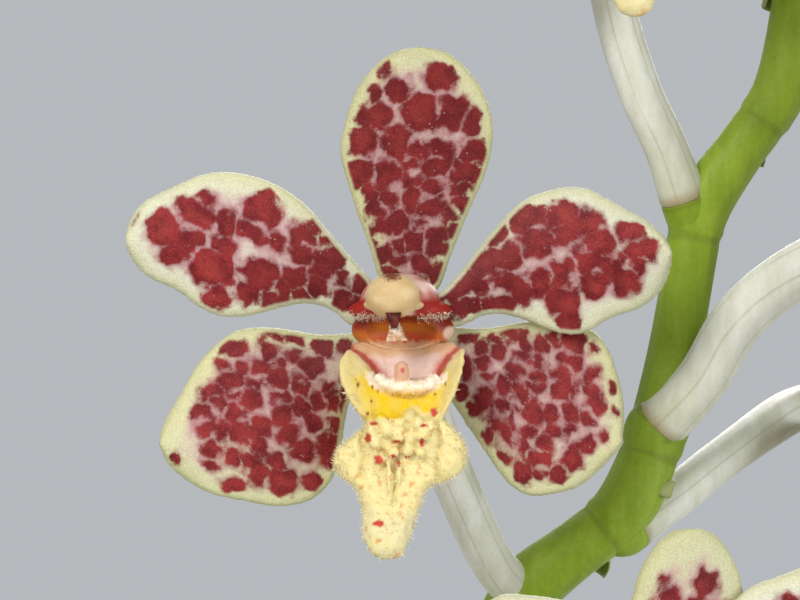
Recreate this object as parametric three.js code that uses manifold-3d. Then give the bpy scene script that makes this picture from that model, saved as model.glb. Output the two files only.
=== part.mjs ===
// A potted orchid: terracotta pot, bark bed, upright leafy stem and one flowering spray.
// Millimetres, +Z up, front towards -Y. The origin is the centre of the pot's base.
import * as THREE from 'three';
import { mergeVertices } from 'three/addons/utils/BufferGeometryUtils.js';
import Module from 'manifold-3d';

const wasm = await Module();
wasm.setup();

// Clearance between grown-together pieces
const GAP = 0.3;

// Pot
const POT_HEIGHT = 100;
const POT_BASE_RADIUS = 43;
const POT_SHOULDER_RADIUS = 56;
const POT_RIM_RADIUS = 61;
const POT_WALL = 5;
const POT_FLOOR = 7;
const RIM_HEIGHT = 21;
const DRAIN_COUNT = 3;
const DRAIN_RADIUS = 6;
const DRAIN_CIRCLE = 23;
const POT_SIDES = 40;

// Bark bed
const BED_TOP = 87;
const BED_CROWN = 2;

// Stem
const STEM_RADIUS = 5;
const STEM_TOP_RADIUS = 4;
const STEM_FOOT = 42;
const STEM_TOP = 221;

// Leaves, two ranks in one upright plane
const LEAF_COUNT = 10;
const LOWEST_LEAF = 97;
const LEAF_SPACING = 12;
const FAN_AZIMUTH = 15;
const SHEATH_LENGTH = 16;
const SHEATH_HALF_ANGLE = 50;
const LEAF_THICKNESS = 1.8;
const LEAF_HALF_WIDTH = 14;
const LEAF_FOLD = 20;
const LEAF_FOOT_FOLD = 30;

// Aerial roots
const ROOT_RADIUS = 2;

// Flower spike. SPIKE_ORIGIN is the centre of the front flower.
const SPIKE_ORIGIN = new THREE.Vector3(62, -58, 344);
const SPIKE_BASE_RADIUS = 2.8;
const SPIKE_TIP_RADIUS = 1.1;
const STALK_RADIUS = 1.45;
const TEPAL_THICKNESS = 0.8;
const TEPAL_CUP = 1.5;
const TEPAL_REACH = 18;
const SEPAL_LAYER = 1.0;
const PETAL_LAYER = -0.1;

const MATERIALS = {
  terracotta: new THREE.MeshStandardMaterial({ color: 0xb5663f, roughness: 0.85, metalness: 0 }),
  bark: new THREE.MeshStandardMaterial({ color: 0x5b3a24, roughness: 0.95, metalness: 0 }),
  stem: new THREE.MeshStandardMaterial({ color: 0x6d7d33, roughness: 0.6, metalness: 0 }),
  leaf: new THREE.MeshStandardMaterial({ color: 0x47692c, roughness: 0.45, metalness: 0 }),
  root: new THREE.MeshStandardMaterial({ color: 0xb9bba6, roughness: 0.8, metalness: 0 }),
  spike: new THREE.MeshStandardMaterial({ color: 0x7f9a3c, roughness: 0.45, metalness: 0 }),
  stalk: new THREE.MeshStandardMaterial({ color: 0xd9dcc4, roughness: 0.5, metalness: 0 }),
  tepal: new THREE.MeshStandardMaterial({ color: 0xa8504a, roughness: 0.5, metalness: 0 }),
  lip: new THREE.MeshStandardMaterial({ color: 0xf0d582, roughness: 0.5, metalness: 0 }),
  column: new THREE.MeshStandardMaterial({ color: 0xd9a079, roughness: 0.5, metalness: 0 }),
  cap: new THREE.MeshStandardMaterial({ color: 0xe8cfa0, roughness: 0.5, metalness: 0 }),
};

const radians = THREE.MathUtils.degToRad;

// Solids and geometries

function toSolid(geometry) {
  for (const name of Object.keys(geometry.attributes)) {
    if (name !== 'position') geometry.deleteAttribute(name);
  }
  const welded = mergeVertices(geometry, 1e-4);
  return new wasm.Manifold(new wasm.Mesh({
    numProp: 3,
    vertProperties: welded.attributes.position.array,
    triVerts: Uint32Array.from(welded.index.array),
  }));
}

function toGeometry(solid) {
  const { vertProperties, triVerts } = solid.getMesh();
  const geometry = new THREE.BufferGeometry();
  geometry.setAttribute('position', new THREE.BufferAttribute(vertProperties, 3));
  geometry.setIndex(new THREE.BufferAttribute(triVerts, 1));
  return geometry;
}

function piece(name, geometry, material) {
  const mesh = new THREE.Mesh(geometry, MATERIALS[material].clone());
  mesh.name = name;
  return mesh;
}

function smooth(low, high, value) {
  return THREE.MathUtils.smoothstep(value, low, high);
}

function moveVertices(geometry, place) {
  const position = geometry.attributes.position;
  const point = new THREE.Vector3();
  for (let i = 0; i < position.count; i += 1) {
    point.fromBufferAttribute(position, i);
    place(point);
    position.setXYZ(i, point.x, point.y, point.z);
  }
  return geometry;
}

function ellipsoid(centre, radii, around = 10, down = 7) {
  const geometry = new THREE.SphereGeometry(1, around, down);
  geometry.scale(...radii);
  geometry.translate(...centre);
  return geometry;
}

// A round tube along a smooth curve, its radius going evenly from radius to endRadius
function tube(points, radius, { endRadius = radius, sides = 8, steps = 12 } = {}) {
  const path = new THREE.CatmullRomCurve3(points, false, 'centripetal');
  const corners = [];
  for (let i = 0; i < sides; i += 1) {
    const angle = (i / sides) * 2 * Math.PI;
    corners.push(new THREE.Vector2(Math.cos(angle), Math.sin(angle)).multiplyScalar(radius));
  }
  const geometry = new THREE.ExtrudeGeometry(new THREE.Shape(corners), { steps, extrudePath: path });
  if (endRadius === radius) return geometry;
  const rings = path.getSpacedPoints(steps);
  const { tangents } = path.computeFrenetFrames(steps, false);
  const offset = new THREE.Vector3();
  return moveVertices(geometry, (point) => {
    let ring = 0;
    let nearest = Infinity;
    rings.forEach((centre, i) => {
      offset.subVectors(point, centre);
      const off = Math.abs(offset.dot(tangents[i])) + (offset.length() > 1.4 * radius ? 100 : 0);
      if (off < nearest) {
        nearest = off;
        ring = i;
      }
    });
    const scale = 1 + (endRadius / radius - 1) * (ring / steps);
    point.sub(rings[ring]).multiplyScalar(scale).add(rings[ring]);
  });
}

// Pot: a thrown shell with a thick rim band and a ring of drain holes through its floor

function potGeometry() {
  const rimFoot = POT_HEIGHT - RIM_HEIGHT;
  const profile = [
    [0, 0],
    [POT_BASE_RADIUS, 0],
    [POT_SHOULDER_RADIUS, rimFoot],
    [POT_RIM_RADIUS - 1, rimFoot],
    [POT_RIM_RADIUS, POT_HEIGHT - 2],
    [POT_RIM_RADIUS - 2, POT_HEIGHT],
    [POT_RIM_RADIUS - POT_WALL - 2, POT_HEIGHT],
    [POT_SHOULDER_RADIUS - POT_WALL, rimFoot],
    [POT_BASE_RADIUS - POT_WALL, POT_FLOOR],
    [0, POT_FLOOR],
  ].map(([radius, height]) => new THREE.Vector2(radius, height));
  const shell = new THREE.LatheGeometry(profile, POT_SIDES).rotateX(Math.PI / 2);
  let pot = toSolid(shell);
  for (let i = 0; i < DRAIN_COUNT; i += 1) {
    const angle = ((i + 0.5) / DRAIN_COUNT) * 2 * Math.PI;
    const hole = new THREE.CylinderGeometry(DRAIN_RADIUS, DRAIN_RADIUS, 4 * POT_FLOOR, 16);
    hole.rotateX(Math.PI / 2);
    hole.translate(DRAIN_CIRCLE * Math.cos(angle), DRAIN_CIRCLE * Math.sin(angle), 0);
    pot = pot.subtract(toSolid(hole));
  }
  return toGeometry(pot);
}

// Bark bed: fills the pot to a little below the rim, with a hole for each root and the stem

function innerRadius(height) {
  const rimFoot = POT_HEIGHT - RIM_HEIGHT;
  const low = POT_BASE_RADIUS - POT_WALL;
  const middle = POT_SHOULDER_RADIUS - POT_WALL;
  const high = POT_RIM_RADIUS - POT_WALL - 2;
  if (height < rimFoot) {
    return low + ((middle - low) * (height - POT_FLOOR)) / (rimFoot - POT_FLOOR);
  }
  return middle + ((high - middle) * (height - rimFoot)) / RIM_HEIGHT;
}

function barkBedGeometry(standing) {
  const rimFoot = POT_HEIGHT - RIM_HEIGHT;
  const floor = POT_FLOOR + GAP;
  const profile = [
    [0, floor],
    [innerRadius(floor) - 2 * GAP, floor],
    [innerRadius(rimFoot) - 2 * GAP, rimFoot],
    [innerRadius(BED_TOP) - 2 * GAP, BED_TOP],
    [0.6 * innerRadius(BED_TOP), BED_TOP + BED_CROWN],
    [0, BED_TOP + BED_CROWN],
  ].map(([radius, height]) => new THREE.Vector2(radius, height));
  const bed = new THREE.LatheGeometry(profile, POT_SIDES).rotateX(Math.PI / 2);
  return toGeometry(standing.reduce((left, solid) => left.subtract(solid), toSolid(bed)));
}

// Stem: upright, a little thinner at its growing end

function stemRadius(height) {
  return THREE.MathUtils.mapLinear(height, STEM_FOOT, STEM_TOP, STEM_RADIUS, STEM_TOP_RADIUS);
}

function stemTube(extra) {
  const ends = [new THREE.Vector3(0, 0, STEM_FOOT), new THREE.Vector3(0, 0, STEM_TOP)];
  return tube(ends, STEM_RADIUS + extra, { endRadius: STEM_TOP_RADIUS + extra, sides: 12, steps: 4 });
}

// Leaves: a strap that sheathes the stem at its foot, then arches out with a folded midrib.
// length is along the midrib, start and end are its angles from upright in degrees.

function leafShape(index) {
  const up = index / (LEAF_COUNT - 1);
  const height = LOWEST_LEAF + index * LEAF_SPACING;
  return {
    side: (index % 2) * 180 + 5 * Math.sin(2.3 * index),
    height,
    sheathRadius: stemRadius(height) + 1.5 * GAP + LEAF_THICKNESS / 2,
    length: 160 - 54 * up * up + 5 * Math.sin(1.7 * index),
    start: 60 - 38 * up ** 1.5,
    end: 116 - 58 * up ** 1.5,
  };
}

function leafSpine({ side, height, sheathRadius, length, start, end }) {
  const azimuth = radians(FAN_AZIMUTH + side);
  const out = new THREE.Vector3(Math.cos(azimuth), Math.sin(azimuth), 0);
  const across = new THREE.Vector3(-out.y, out.x, 0);
  const point = new THREE.Vector3(0, 0, height).addScaledVector(out, sheathRadius);
  const steps = 60;
  const spine = [];
  for (let i = 0; i <= steps; i += 1) {
    const along = (i / steps) * (length + SHEATH_LENGTH);
    const past = Math.max(0, along - 0.55 * SHEATH_LENGTH) / length;
    const lean = radians(start * smooth(0, 0.1, past) + (end - start) * past ** 1.4);
    const tangent = out.clone().multiplyScalar(Math.sin(lean));
    tangent.z = Math.cos(lean);
    const inward = new THREE.Vector3().crossVectors(tangent, across).normalize();
    spine.push({ point: point.clone(), inward, across, along });
    point.addScaledVector(tangent, (length + SHEATH_LENGTH) / steps);
  }
  return spine;
}

function leafGeometry(shape) {
  const spine = leafSpine(shape);
  const total = shape.length + SHEATH_LENGTH;
  const blade = new THREE.BoxGeometry(2, 1, 1, 4, 10, 1);
  return moveVertices(blade, (vertex) => {
    const share = vertex.y + 0.5;
    const at = spine[Math.round(share ** 1.25 * (spine.length - 1))];
    const free = smooth(0.6 * SHEATH_LENGTH, 1.6 * SHEATH_LENGTH, at.along);
    const fold = radians(THREE.MathUtils.lerp(LEAF_FOOT_FOLD, LEAF_FOLD, smooth(0.1, 0.5, at.along / total)));
    const taper = 1 - 0.35 * smooth(0.8, 1, at.along / total) - 0.25 * (1 - smooth(0, 0.35, at.along / total));
    const around = radians(SHEATH_HALF_ANGLE) * vertex.x;
    const skin = vertex.z * LEAF_THICKNESS;
    const sheath = [
      (shape.sheathRadius + skin) * Math.sin(around),
      shape.sheathRadius - (shape.sheathRadius + skin) * Math.cos(around),
    ];
    const reach = LEAF_HALF_WIDTH * taper * vertex.x;
    const open = [
      reach * Math.cos(fold) + skin * Math.sin(fold) * Math.sign(vertex.x),
      Math.abs(reach) * Math.sin(fold) - skin * Math.cos(fold),
    ];
    const wide = THREE.MathUtils.lerp(sheath[0], open[0], free);
    const deep = THREE.MathUtils.lerp(sheath[1], open[1], free);
    vertex.copy(at.point).addScaledVector(at.across, wide).addScaledVector(at.inward, deep);
  });
}

// Aerial roots: from the stem between the sheaths, down into the bark or over the rim

const ROOTS = [
  [[1, -3, 104], [3.5, -12, 105], [2, -22, 99], [-3, -31, 90], [-5, -34, 76]],
  [[-1, 3, 101], [-3, 13, 102], [2, 22, 98], [9, 29, 88], [11, 31, 76]],
  [[1, -3, 124], [4, -13, 126], [11, -25, 121], [18, -34, 106], [22, -38, 90], [23, -39, 75]],
  [[-1, 3, 130], [-4, 14, 134], [-14, 33, 130], [-30, 51, 114], [-38, 60, 92], [-37, 63, 66], [-31, 66, 46]],
].map((points) => points.map((point) => new THREE.Vector3(...point)));

// Flower spike: leaves the stem at the front and leans to the right, turning a little at each node

const SPIKE_FOOT = [[0.2, -3.3, 146], [1.6, -13, 149], [8, -24, 167], [17, -33, 195], [29, -41, 230], [42, -46, 262]];

// Nodes from the lowest, in the plane behind the front flower, from that flower's centre
const SPIKE_DEPTH = 11;
const NODES = [
  [-4, -52], [0.6, -42.5], [4.2, -32], [8.7, -20.3], [16.4, -14.4], [19, -8],
  [21.8, 8], [27.8, 16.3], [29.4, 27], [34, 37], [36.5, 48],
];
const BUD_NODES = [[41, 57], [42.8, 65], [46, 72], [47.6, 78], [49.6, 83]];
const SPIKE_TIP = [51, 87];

function onSpike([across, up]) {
  return new THREE.Vector3(across, SPIKE_DEPTH, up).add(SPIKE_ORIGIN);
}

function spikeTube(extra) {
  const points = SPIKE_FOOT.map((point) => new THREE.Vector3(...point));
  for (const node of [...NODES, ...BUD_NODES, SPIKE_TIP]) points.push(onSpike(node));
  return tube(points, SPIKE_BASE_RADIUS + extra, {
    endRadius: SPIKE_TIP_RADIUS + extra,
    sides: 8,
    steps: 54,
  });
}

// Flowers. A flower's own axes: x to the viewer's right, z up, the viewer at -y.

const OUTLINES = {
  dorsal_sepal: [
    [0.7, 18.8], [-2.6, 16.7], [-4.4, 12.2], [-3.2, 7], [-1.8, 2.6], [-0.8, 0.4],
    [1, 0.4], [2.8, 2.2], [4.9, 7.9], [6.4, 12.8], [4.6, 17.1],
  ],
  left_petal: [
    [-1.4, 0.9], [-4.9, 5.4], [-8.7, 9.1], [-13.8, 9.8], [-18.6, 7.4], [-19, 4.1], [-16, 1.9],
    [-12.7, -0.1], [-8.5, 0.6], [-4.2, -0.4], [-1.4, -0.5],
  ],
  right_petal: [
    [1.4, 0.9], [5.7, 5.2], [9.2, 8.5], [12.6, 8.9], [17.2, 6.5], [18.8, 4.3], [16.7, 0.5],
    [11.7, -1.4], [8.2, -0.2], [4.4, -0.6], [1.4, -0.5],
  ],
  left_lateral_sepal: [
    [-1, -0.9], [-5.9, -1.4], [-11.6, -1.1], [-14.4, -3.5], [-17, -8.6], [-15.3, -11.5],
    [-8.6, -13.4], [-5, -11.6], [-3, -7.3], [-1, -1.9],
  ],
  right_lateral_sepal: [
    [1, -0.9], [4.6, -1], [10, -0.6], [14.2, -1.8], [15.5, -6.2], [15, -9.6], [10.6, -12.5],
    [7.2, -11.6], [3.3, -5.9], [1, -1.9],
  ],
};

function tepalGeometry(name, corners, lift = 0) {
  const points = OUTLINES[name].map(([x, z]) => new THREE.Vector3(x, z, 0));
  const turns = { left_petal: -lift, right_petal: lift };
  for (const point of points) point.applyAxisAngle(new THREE.Vector3(0, 0, 1), radians(turns[name] ?? 0));
  const outline = new THREE.CatmullRomCurve3(points, true).getSpacedPoints(corners).slice(0, -1);
  const shape = new THREE.Shape(outline.map(({ x, y }) => new THREE.Vector2(x, y)));
  const layer = name.endsWith('petal') ? PETAL_LAYER : SEPAL_LAYER;
  const plate = new THREE.ExtrudeGeometry(shape, { depth: TEPAL_THICKNESS, bevelEnabled: false });
  plate.rotateX(Math.PI / 2);
  return moveVertices(plate, (point) => {
    const reach = Math.hypot(point.x, point.z) / TEPAL_REACH;
    point.y += layer + TEPAL_THICKNESS / 2 - TEPAL_CUP * reach ** 2;
  });
}

// The column stands forward from the knob that carries the sepals and petals
function columnSolid(extra) {
  const knob = ellipsoid([0, 1.1, 0], [2.5 + extra, 2.1 + extra, 2.4 + extra]);
  const column = ellipsoid([-0.1, -1.2, 0.1], [2.4 + extra, 2.9 + extra, 2 + extra]);
  return toSolid(knob).add(toSolid(column));
}

const CAP = { centre: [-0.6, -3.9, 1.4], radii: [2.1, 1.5, 1.6] };

// Three-lobed lip: a hollow throat between two standing lobes, cross arms and a hanging tongue
function lipSolid() {
  const throat = toSolid(ellipsoid([0.1, -1.8, -4.4], [4, 2, 3.2]));
  const hollow = toSolid(ellipsoid([0.1, -4.2, -3.6], [3, 2.7, 2.8]));
  const arms = toSolid(ellipsoid([0, -3, -8.8], [4.6, 1.6, 2.4]));
  const tongue = toSolid(ellipsoid([-0.5, -3.6, -12], [2.3, 1.2, 4.8]));
  return throat.subtract(hollow).add(arms).add(tongue);
}

function facing({ yaw = 0, pitch = 0, roll = 0 }) {
  return new THREE.Euler(radians(-pitch), radians(-roll), radians(yaw), 'ZXY');
}

// Each open flower: where its centre is from the front flower's (right, up, back), how it is turned,
// and how far its petals are lifted, in degrees
const FLOWERS = [
  { centre: [-16, -46, -4], yaw: -35, pitch: 4, roll: 0, size: 0.98, lift: 8 },
  { centre: [-16, -48, 26], yaw: -148, pitch: 8, roll: -6, size: 1, lift: 12 },
  { centre: [19.3, -32.9, -6], yaw: 15, pitch: 2, roll: 2, size: 0.97, lift: 36 },
  { centre: [0, 0, 0], yaw: 0, pitch: 0, roll: 0, size: 1, lift: 0 },
  { centre: [34.5, -7, 28], yaw: 74, pitch: 4, roll: 0, size: 0.98, lift: 6 },
  { centre: [41, 7, -7], yaw: 58, pitch: 6, roll: 5, size: 1, lift: 10 },
  { centre: [16.8, 38.4, 0], yaw: -8, pitch: 4, roll: 0, size: 1, lift: 5 },
  { centre: [50, 35, 22], yaw: 104, pitch: 6, roll: 8, size: 0.98, lift: 0 },
  { centre: [12, 45, 34], yaw: -150, pitch: 10, roll: 5, size: 0.97, lift: 8 },
  { centre: [56, 51, -6], yaw: 48, pitch: 10, roll: -8, size: 0.95, lift: 14 },
  { centre: [21, 78, 1], yaw: -26, pitch: 14, roll: 5, size: 0.93, lift: 10 },
];
const FRONT_FLOWER = 3;

// Buds: where each one's middle is from the front flower's centre, and its half length
const BUDS = [
  { centre: [54, 70, 23], half: 5 },
  { centre: [57, 79, 2], half: 4.4 },
  { centre: [35, 86, 19], half: 3.8 },
  { centre: [58, 90, 14], half: 3.1 },
  { centre: [50, 96, 8], half: 2.5 },
];

const spikeCore = toSolid(spikeTube(GAP));

// A stalk leaves the spike sideways, bends and ends square on the back of its flower
function stalkGeometry(node, end, direction, radius) {
  const start = onSpike(node);
  const reach = start.distanceTo(end);
  const away = new THREE.Vector3().subVectors(end, start).normalize();
  const side = away.clone().addScaledVector(direction, -0.35).normalize();
  const points = [
    start,
    start.clone().addScaledVector(side, 0.35 * reach),
    end.clone().addScaledVector(direction, -0.36 * reach),
    end,
  ];
  return toGeometry(toSolid(tube(points, radius, { sides: 7, steps: 6 })).subtract(spikeCore));
}

function flowerStalk(name, node, flower) {
  const turned = facing(flower);
  const direction = new THREE.Vector3(0, -1, 0).applyEuler(turned);
  const [x, z, y] = flower.centre;
  const centre = new THREE.Vector3(x, y, z).add(SPIKE_ORIGIN);
  const end = centre.addScaledVector(direction, -(3.2 * flower.size + GAP));
  return piece(name, stalkGeometry(node, end, direction, STALK_RADIUS), 'stalk');
}

function flowerPlace(name, flower) {
  const place = new THREE.Group();
  const [x, z, y] = flower.centre;
  place.name = name;
  place.position.set(x, y, z).add(SPIKE_ORIGIN);
  place.rotation.copy(facing(flower));
  place.scale.setScalar(flower.size);
  return place;
}

// A flower further off: the same tepals joined to one middle and one lip
function wholeBlossom(name, lift) {
  const middle = toSolid(ellipsoid([0, -0.4, 0.3], [2.6, 3.7, 2.7], 7, 5));
  const lobes = toSolid(ellipsoid([0, -2.2, -5.8], [4.2, 1.8, 4.8], 7, 5));
  const tongue = toSolid(ellipsoid([-0.5, -3.4, -12], [2.4, 1.3, 5], 6, 5));
  let blossom = middle.add(lobes).add(tongue);
  for (const tepal of Object.keys(OUTLINES)) {
    blossom = blossom.add(toSolid(tepalGeometry(tepal, 9, lift)));
  }
  return piece(name, toGeometry(blossom), 'tepal');
}

function openedFlower(prefix) {
  const column = columnSolid(0);
  const clearance = columnSolid(GAP);
  const cap = toSolid(ellipsoid(CAP.centre, CAP.radii, 14, 8)).subtract(clearance);
  const lip = lipSolid().subtract(clearance);
  const pieces = [
    piece(`${prefix}_column`, toGeometry(column), 'column'),
    piece(`${prefix}_anther_cap`, toGeometry(cap), 'cap'),
    piece(`${prefix}_lip`, toGeometry(lip), 'lip'),
  ];
  for (const tepal of Object.keys(OUTLINES)) {
    const solid = toSolid(tepalGeometry(tepal, 22)).subtract(clearance);
    pieces.push(piece(`${prefix}_${tepal}`, toGeometry(solid), 'tepal'));
  }
  return pieces;
}

function budPiece(name, node, { centre, half }) {
  const [x, z, y] = centre;
  const middle = new THREE.Vector3(x, y, z).add(SPIKE_ORIGIN);
  const start = onSpike(node);
  const direction = new THREE.Vector3().subVectors(middle, start).normalize();
  const upwards = direction.clone().add(new THREE.Vector3(0, 0, 0.8)).normalize();
  const bud = ellipsoid([0, 0, 0], [0.72 * half, 0.72 * half, half], 8, 6);
  bud.applyQuaternion(new THREE.Quaternion().setFromUnitVectors(new THREE.Vector3(0, 0, 1), upwards));
  bud.translate(middle.x, middle.y, middle.z);
  const end = middle.clone().addScaledVector(upwards, -0.8 * half);
  const bend = start.clone().lerp(end, 0.5).addScaledVector(direction, 1);
  const stalk = tube([start, bend, end], 1.1, { sides: 6, steps: 5 });
  return piece(name, toGeometry(toSolid(stalk).subtract(spikeCore).add(toSolid(bud))), 'tepal');
}

// The whole plant

const twoDigits = (number) => String(number).padStart(2, '0');
const plant = new THREE.Group();
plant.name = 'potted_orchid';

const stemCore = toSolid(stemTube(GAP));
const rootTubes = ROOTS.map((points) => toSolid(tube(points, ROOT_RADIUS, { sides: 7, steps: 12 })));
const rootCores = ROOTS.map((points) => toSolid(tube(points, ROOT_RADIUS + GAP, { sides: 7, steps: 12 })));

plant.add(piece('pot', potGeometry(), 'terracotta'));
plant.add(piece('bark_bed', barkBedGeometry([stemCore, ...rootCores]), 'bark'));
plant.add(piece('stem', stemTube(0), 'stem'));
for (let i = 0; i < LEAF_COUNT; i += 1) {
  plant.add(piece(`leaf_${twoDigits(i + 1)}`, leafGeometry(leafShape(i)), 'leaf'));
}
rootTubes.forEach((root, i) => {
  plant.add(piece(`root_${twoDigits(i + 1)}`, toGeometry(root.subtract(stemCore)), 'root'));
});
plant.add(piece('flower_spike', toGeometry(toSolid(spikeTube(0)).subtract(stemCore)), 'spike'));

FLOWERS.forEach((flower, i) => {
  const name = `flower_${twoDigits(i + 1)}`;
  const place = flowerPlace(name, flower);
  plant.add(flowerStalk(`${name}_stalk`, NODES[i], flower));
  if (i === FRONT_FLOWER) place.add(...openedFlower(name));
  else place.add(wholeBlossom(`${name}_blossom`, flower.lift));
  plant.add(place);
});

BUDS.forEach((bud, i) => {
  plant.add(budPiece(`bud_${twoDigits(i + 1)}`, BUD_NODES[i], bud));
});

export default plant;
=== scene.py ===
import bpy
import numpy as np
from mathutils import Matrix, Vector


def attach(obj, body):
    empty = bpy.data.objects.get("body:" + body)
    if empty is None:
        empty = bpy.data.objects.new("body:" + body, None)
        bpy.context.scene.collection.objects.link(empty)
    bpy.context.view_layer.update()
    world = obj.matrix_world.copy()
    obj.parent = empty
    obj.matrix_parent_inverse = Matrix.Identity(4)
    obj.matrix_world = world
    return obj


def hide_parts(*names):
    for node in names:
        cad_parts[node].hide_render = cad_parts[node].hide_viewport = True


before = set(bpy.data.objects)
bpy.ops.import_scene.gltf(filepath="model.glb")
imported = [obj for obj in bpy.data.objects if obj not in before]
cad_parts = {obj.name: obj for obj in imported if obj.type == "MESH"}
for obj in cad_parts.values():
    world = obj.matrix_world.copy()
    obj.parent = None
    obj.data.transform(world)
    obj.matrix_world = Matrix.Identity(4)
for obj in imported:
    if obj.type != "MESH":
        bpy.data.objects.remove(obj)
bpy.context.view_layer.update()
MM = 0.001

# Camera, lights and floor. The camera is level and looks straight at the front flower, close enough that
# this one flower and a stretch of the spike fill the picture. Large soft lights stand round a plain pale
# floor.
FRONT_FLOWER = np.array((62.0, -58.0, 344.0))
VIEW_CENTRE = (61.8, 345.05)
VIEW_WIDTH = 55.8
VIEW_DISTANCE = 220.0
SENSOR_WIDTH = 36.0
FLOOR_WIDTH = 6400.0
FLOOR_COLOUR = (0.62, 0.615, 0.6, 1)
SKY_COLOUR = (0.62, 0.65, 0.68, 1)
SKY_STRENGTH = 0.75
LIT_POINT = (20, -20, 300)

bpy.ops.object.select_all(action="DESELECT")
bpy.ops.object.camera_add(
    location=(VIEW_CENTRE[0] * MM, (FRONT_FLOWER[1] - VIEW_DISTANCE) * MM, VIEW_CENTRE[1] * MM),
    rotation=(np.pi / 2, 0, 0),
)
camera = bpy.context.object
camera.data.sensor_width = SENSOR_WIDTH
camera.data.lens = SENSOR_WIDTH * VIEW_DISTANCE / VIEW_WIDTH
camera.data.clip_start = 0.01
bpy.context.scene.camera = camera


def soft_light(name, place, size, watts, colour):
    """A square soft box that faces the flowers."""
    bpy.ops.object.light_add(type="AREA", location=Vector(place) * MM)
    light = bpy.context.object
    light.name = name
    towards = Vector(LIT_POINT) - Vector(place)
    light.rotation_euler = towards.to_track_quat("-Z", "Y").to_euler()
    light.data.size = size * MM
    light.data.energy = watts
    light.data.color = colour


soft_light("key_light", (-420, -900, 900), 520, 10.0, (1.0, 0.97, 0.92))
soft_light("fill_light", (800, -700, 420), 700, 5.5, (0.93, 0.96, 1.0))
soft_light("back_light", (250, 1000, 900), 800, 11, (1.0, 0.98, 0.95))

world = bpy.data.worlds.new("studio")
world.use_nodes = True
world.node_tree.nodes["Background"].inputs["Color"].default_value = SKY_COLOUR
world.node_tree.nodes["Background"].inputs["Strength"].default_value = SKY_STRENGTH
bpy.context.scene.world = world
bpy.context.scene.view_settings.view_transform = "Standard"


class Wire:
    """What comes out of a shader node. Sums on it add their own Math nodes."""

    def __init__(self, finish, socket):
        self.finish = finish
        self.socket = socket

    def maths(self, operation, *values):
        return self.finish.node("ShaderNodeMath", {"operation": operation}, dict(enumerate(values)))

    def __add__(self, other):
        return self.maths("ADD", self, other)

    def __sub__(self, other):
        return self.maths("SUBTRACT", self, other)

    def __rsub__(self, other):
        return self.maths("SUBTRACT", other, self)

    def __mul__(self, other):
        return self.maths("MULTIPLY", self, other)

    __radd__ = __add__
    __rmul__ = __mul__

    def size(self):
        return self.maths("ABSOLUTE", self)

    def wave(self):
        return self.maths("SINE", self)

    def between(self, low, high):
        """0 at low and 1 at high, easing in and out."""
        values = {"Value": self, "From Min": low, "From Max": high}
        return self.finish.node("ShaderNodeMapRange", {"interpolation_type": "SMOOTHSTEP"}, values)


class Finish:
    """A procedural material: node() adds any shader node, and shell() closes it with its surface."""

    def __init__(self, name):
        self.material = bpy.data.materials.new(name)
        self.material.use_nodes = True
        self.tree = self.material.node_tree
        self.tree.nodes.clear()
        self.place = self.node("ShaderNodeTexCoord", out="Object")

    def node(self, kind, settings=None, values=None, out=0):
        made = self.tree.nodes.new(kind)
        for key, setting in (settings or {}).items():
            setattr(made, key, setting)
        for key, value in (values or {}).items():
            if isinstance(value, Wire):
                self.tree.links.new(value.socket, made.inputs[key])
            elif isinstance(value, tuple) and made.inputs[key].type == "RGBA":
                made.inputs[key].default_value = (*value, 1)
            else:
                made.inputs[key].default_value = value
        return Wire(self, made.outputs[out]) if made.outputs else None

    def mark(self, name):
        return self.node("ShaderNodeAttribute", {"attribute_name": name}, out="Fac")

    def stretched(self, scale):
        """Object coordinates in millimetres, times a scale for each axis."""
        return self.node("ShaderNodeMapping", None, {"Vector": self.place, "Scale": Vector(scale) / MM})

    def noise(self, size, detail=2.0, where=None):
        """Clouds of about that size in millimetres, round 0."""
        where = where or self.stretched((1, 1, 1))
        values = {"Vector": where, "Scale": 1 / size, "Detail": detail}
        return self.node("ShaderNodeTexNoise", None, values, out="Fac") - 0.5

    def cells(self, size):
        """Distance from the nearest of scattered points, about that far apart in millimetres."""
        values = {"Vector": self.stretched((1, 1, 1)), "Scale": 1 / size}
        return self.node("ShaderNodeTexVoronoi", None, values, out="Distance")

    def mix(self, share, first, second):
        return self.node("ShaderNodeMix", {"data_type": "RGBA"}, {0: share, 6: first, 7: second}, out=2)

    def shade(self, colour, amount):
        """The colour lightened or darkened by a number round 1."""
        grey = self.node("ShaderNodeCombineColor", None, {"Red": amount, "Green": amount, "Blue": amount})
        settings = {"data_type": "RGBA", "blend_type": "MULTIPLY"}
        return self.node("ShaderNodeMix", settings, {0: 1.0, 6: colour, 7: grey}, out=2)

    def shell(self, colour, roughness, relief=(), **surface):
        """Closes the material. relief holds (height in mm, strength) pairs."""
        normal = None
        for height, strength in relief:
            values = {"Height": height, "Strength": strength, "Distance": MM}
            if normal:
                values["Normal"] = normal
            normal = self.node("ShaderNodeBump", None, values)
        values = {"Base Color": colour, "Roughness": roughness}
        if normal:
            values["Normal"] = normal
        for name, value in surface.items():
            values[name.replace("_", " ")] = value
        body = self.node("ShaderNodeBsdfPrincipled", None, values)
        self.node("ShaderNodeOutputMaterial", None, {"Surface": body})
        return self.material


def floor_finish():
    finish = Finish("pale_table")
    tint = finish.noise(400) * 0.04 + 1
    return finish.shell(finish.shade(FLOOR_COLOUR[:3], tint), 0.7)


bpy.ops.mesh.primitive_plane_add(size=FLOOR_WIDTH * MM)
floor = bpy.context.object
floor.name = "floor"
floor.data.materials.append(floor_finish())


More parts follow.
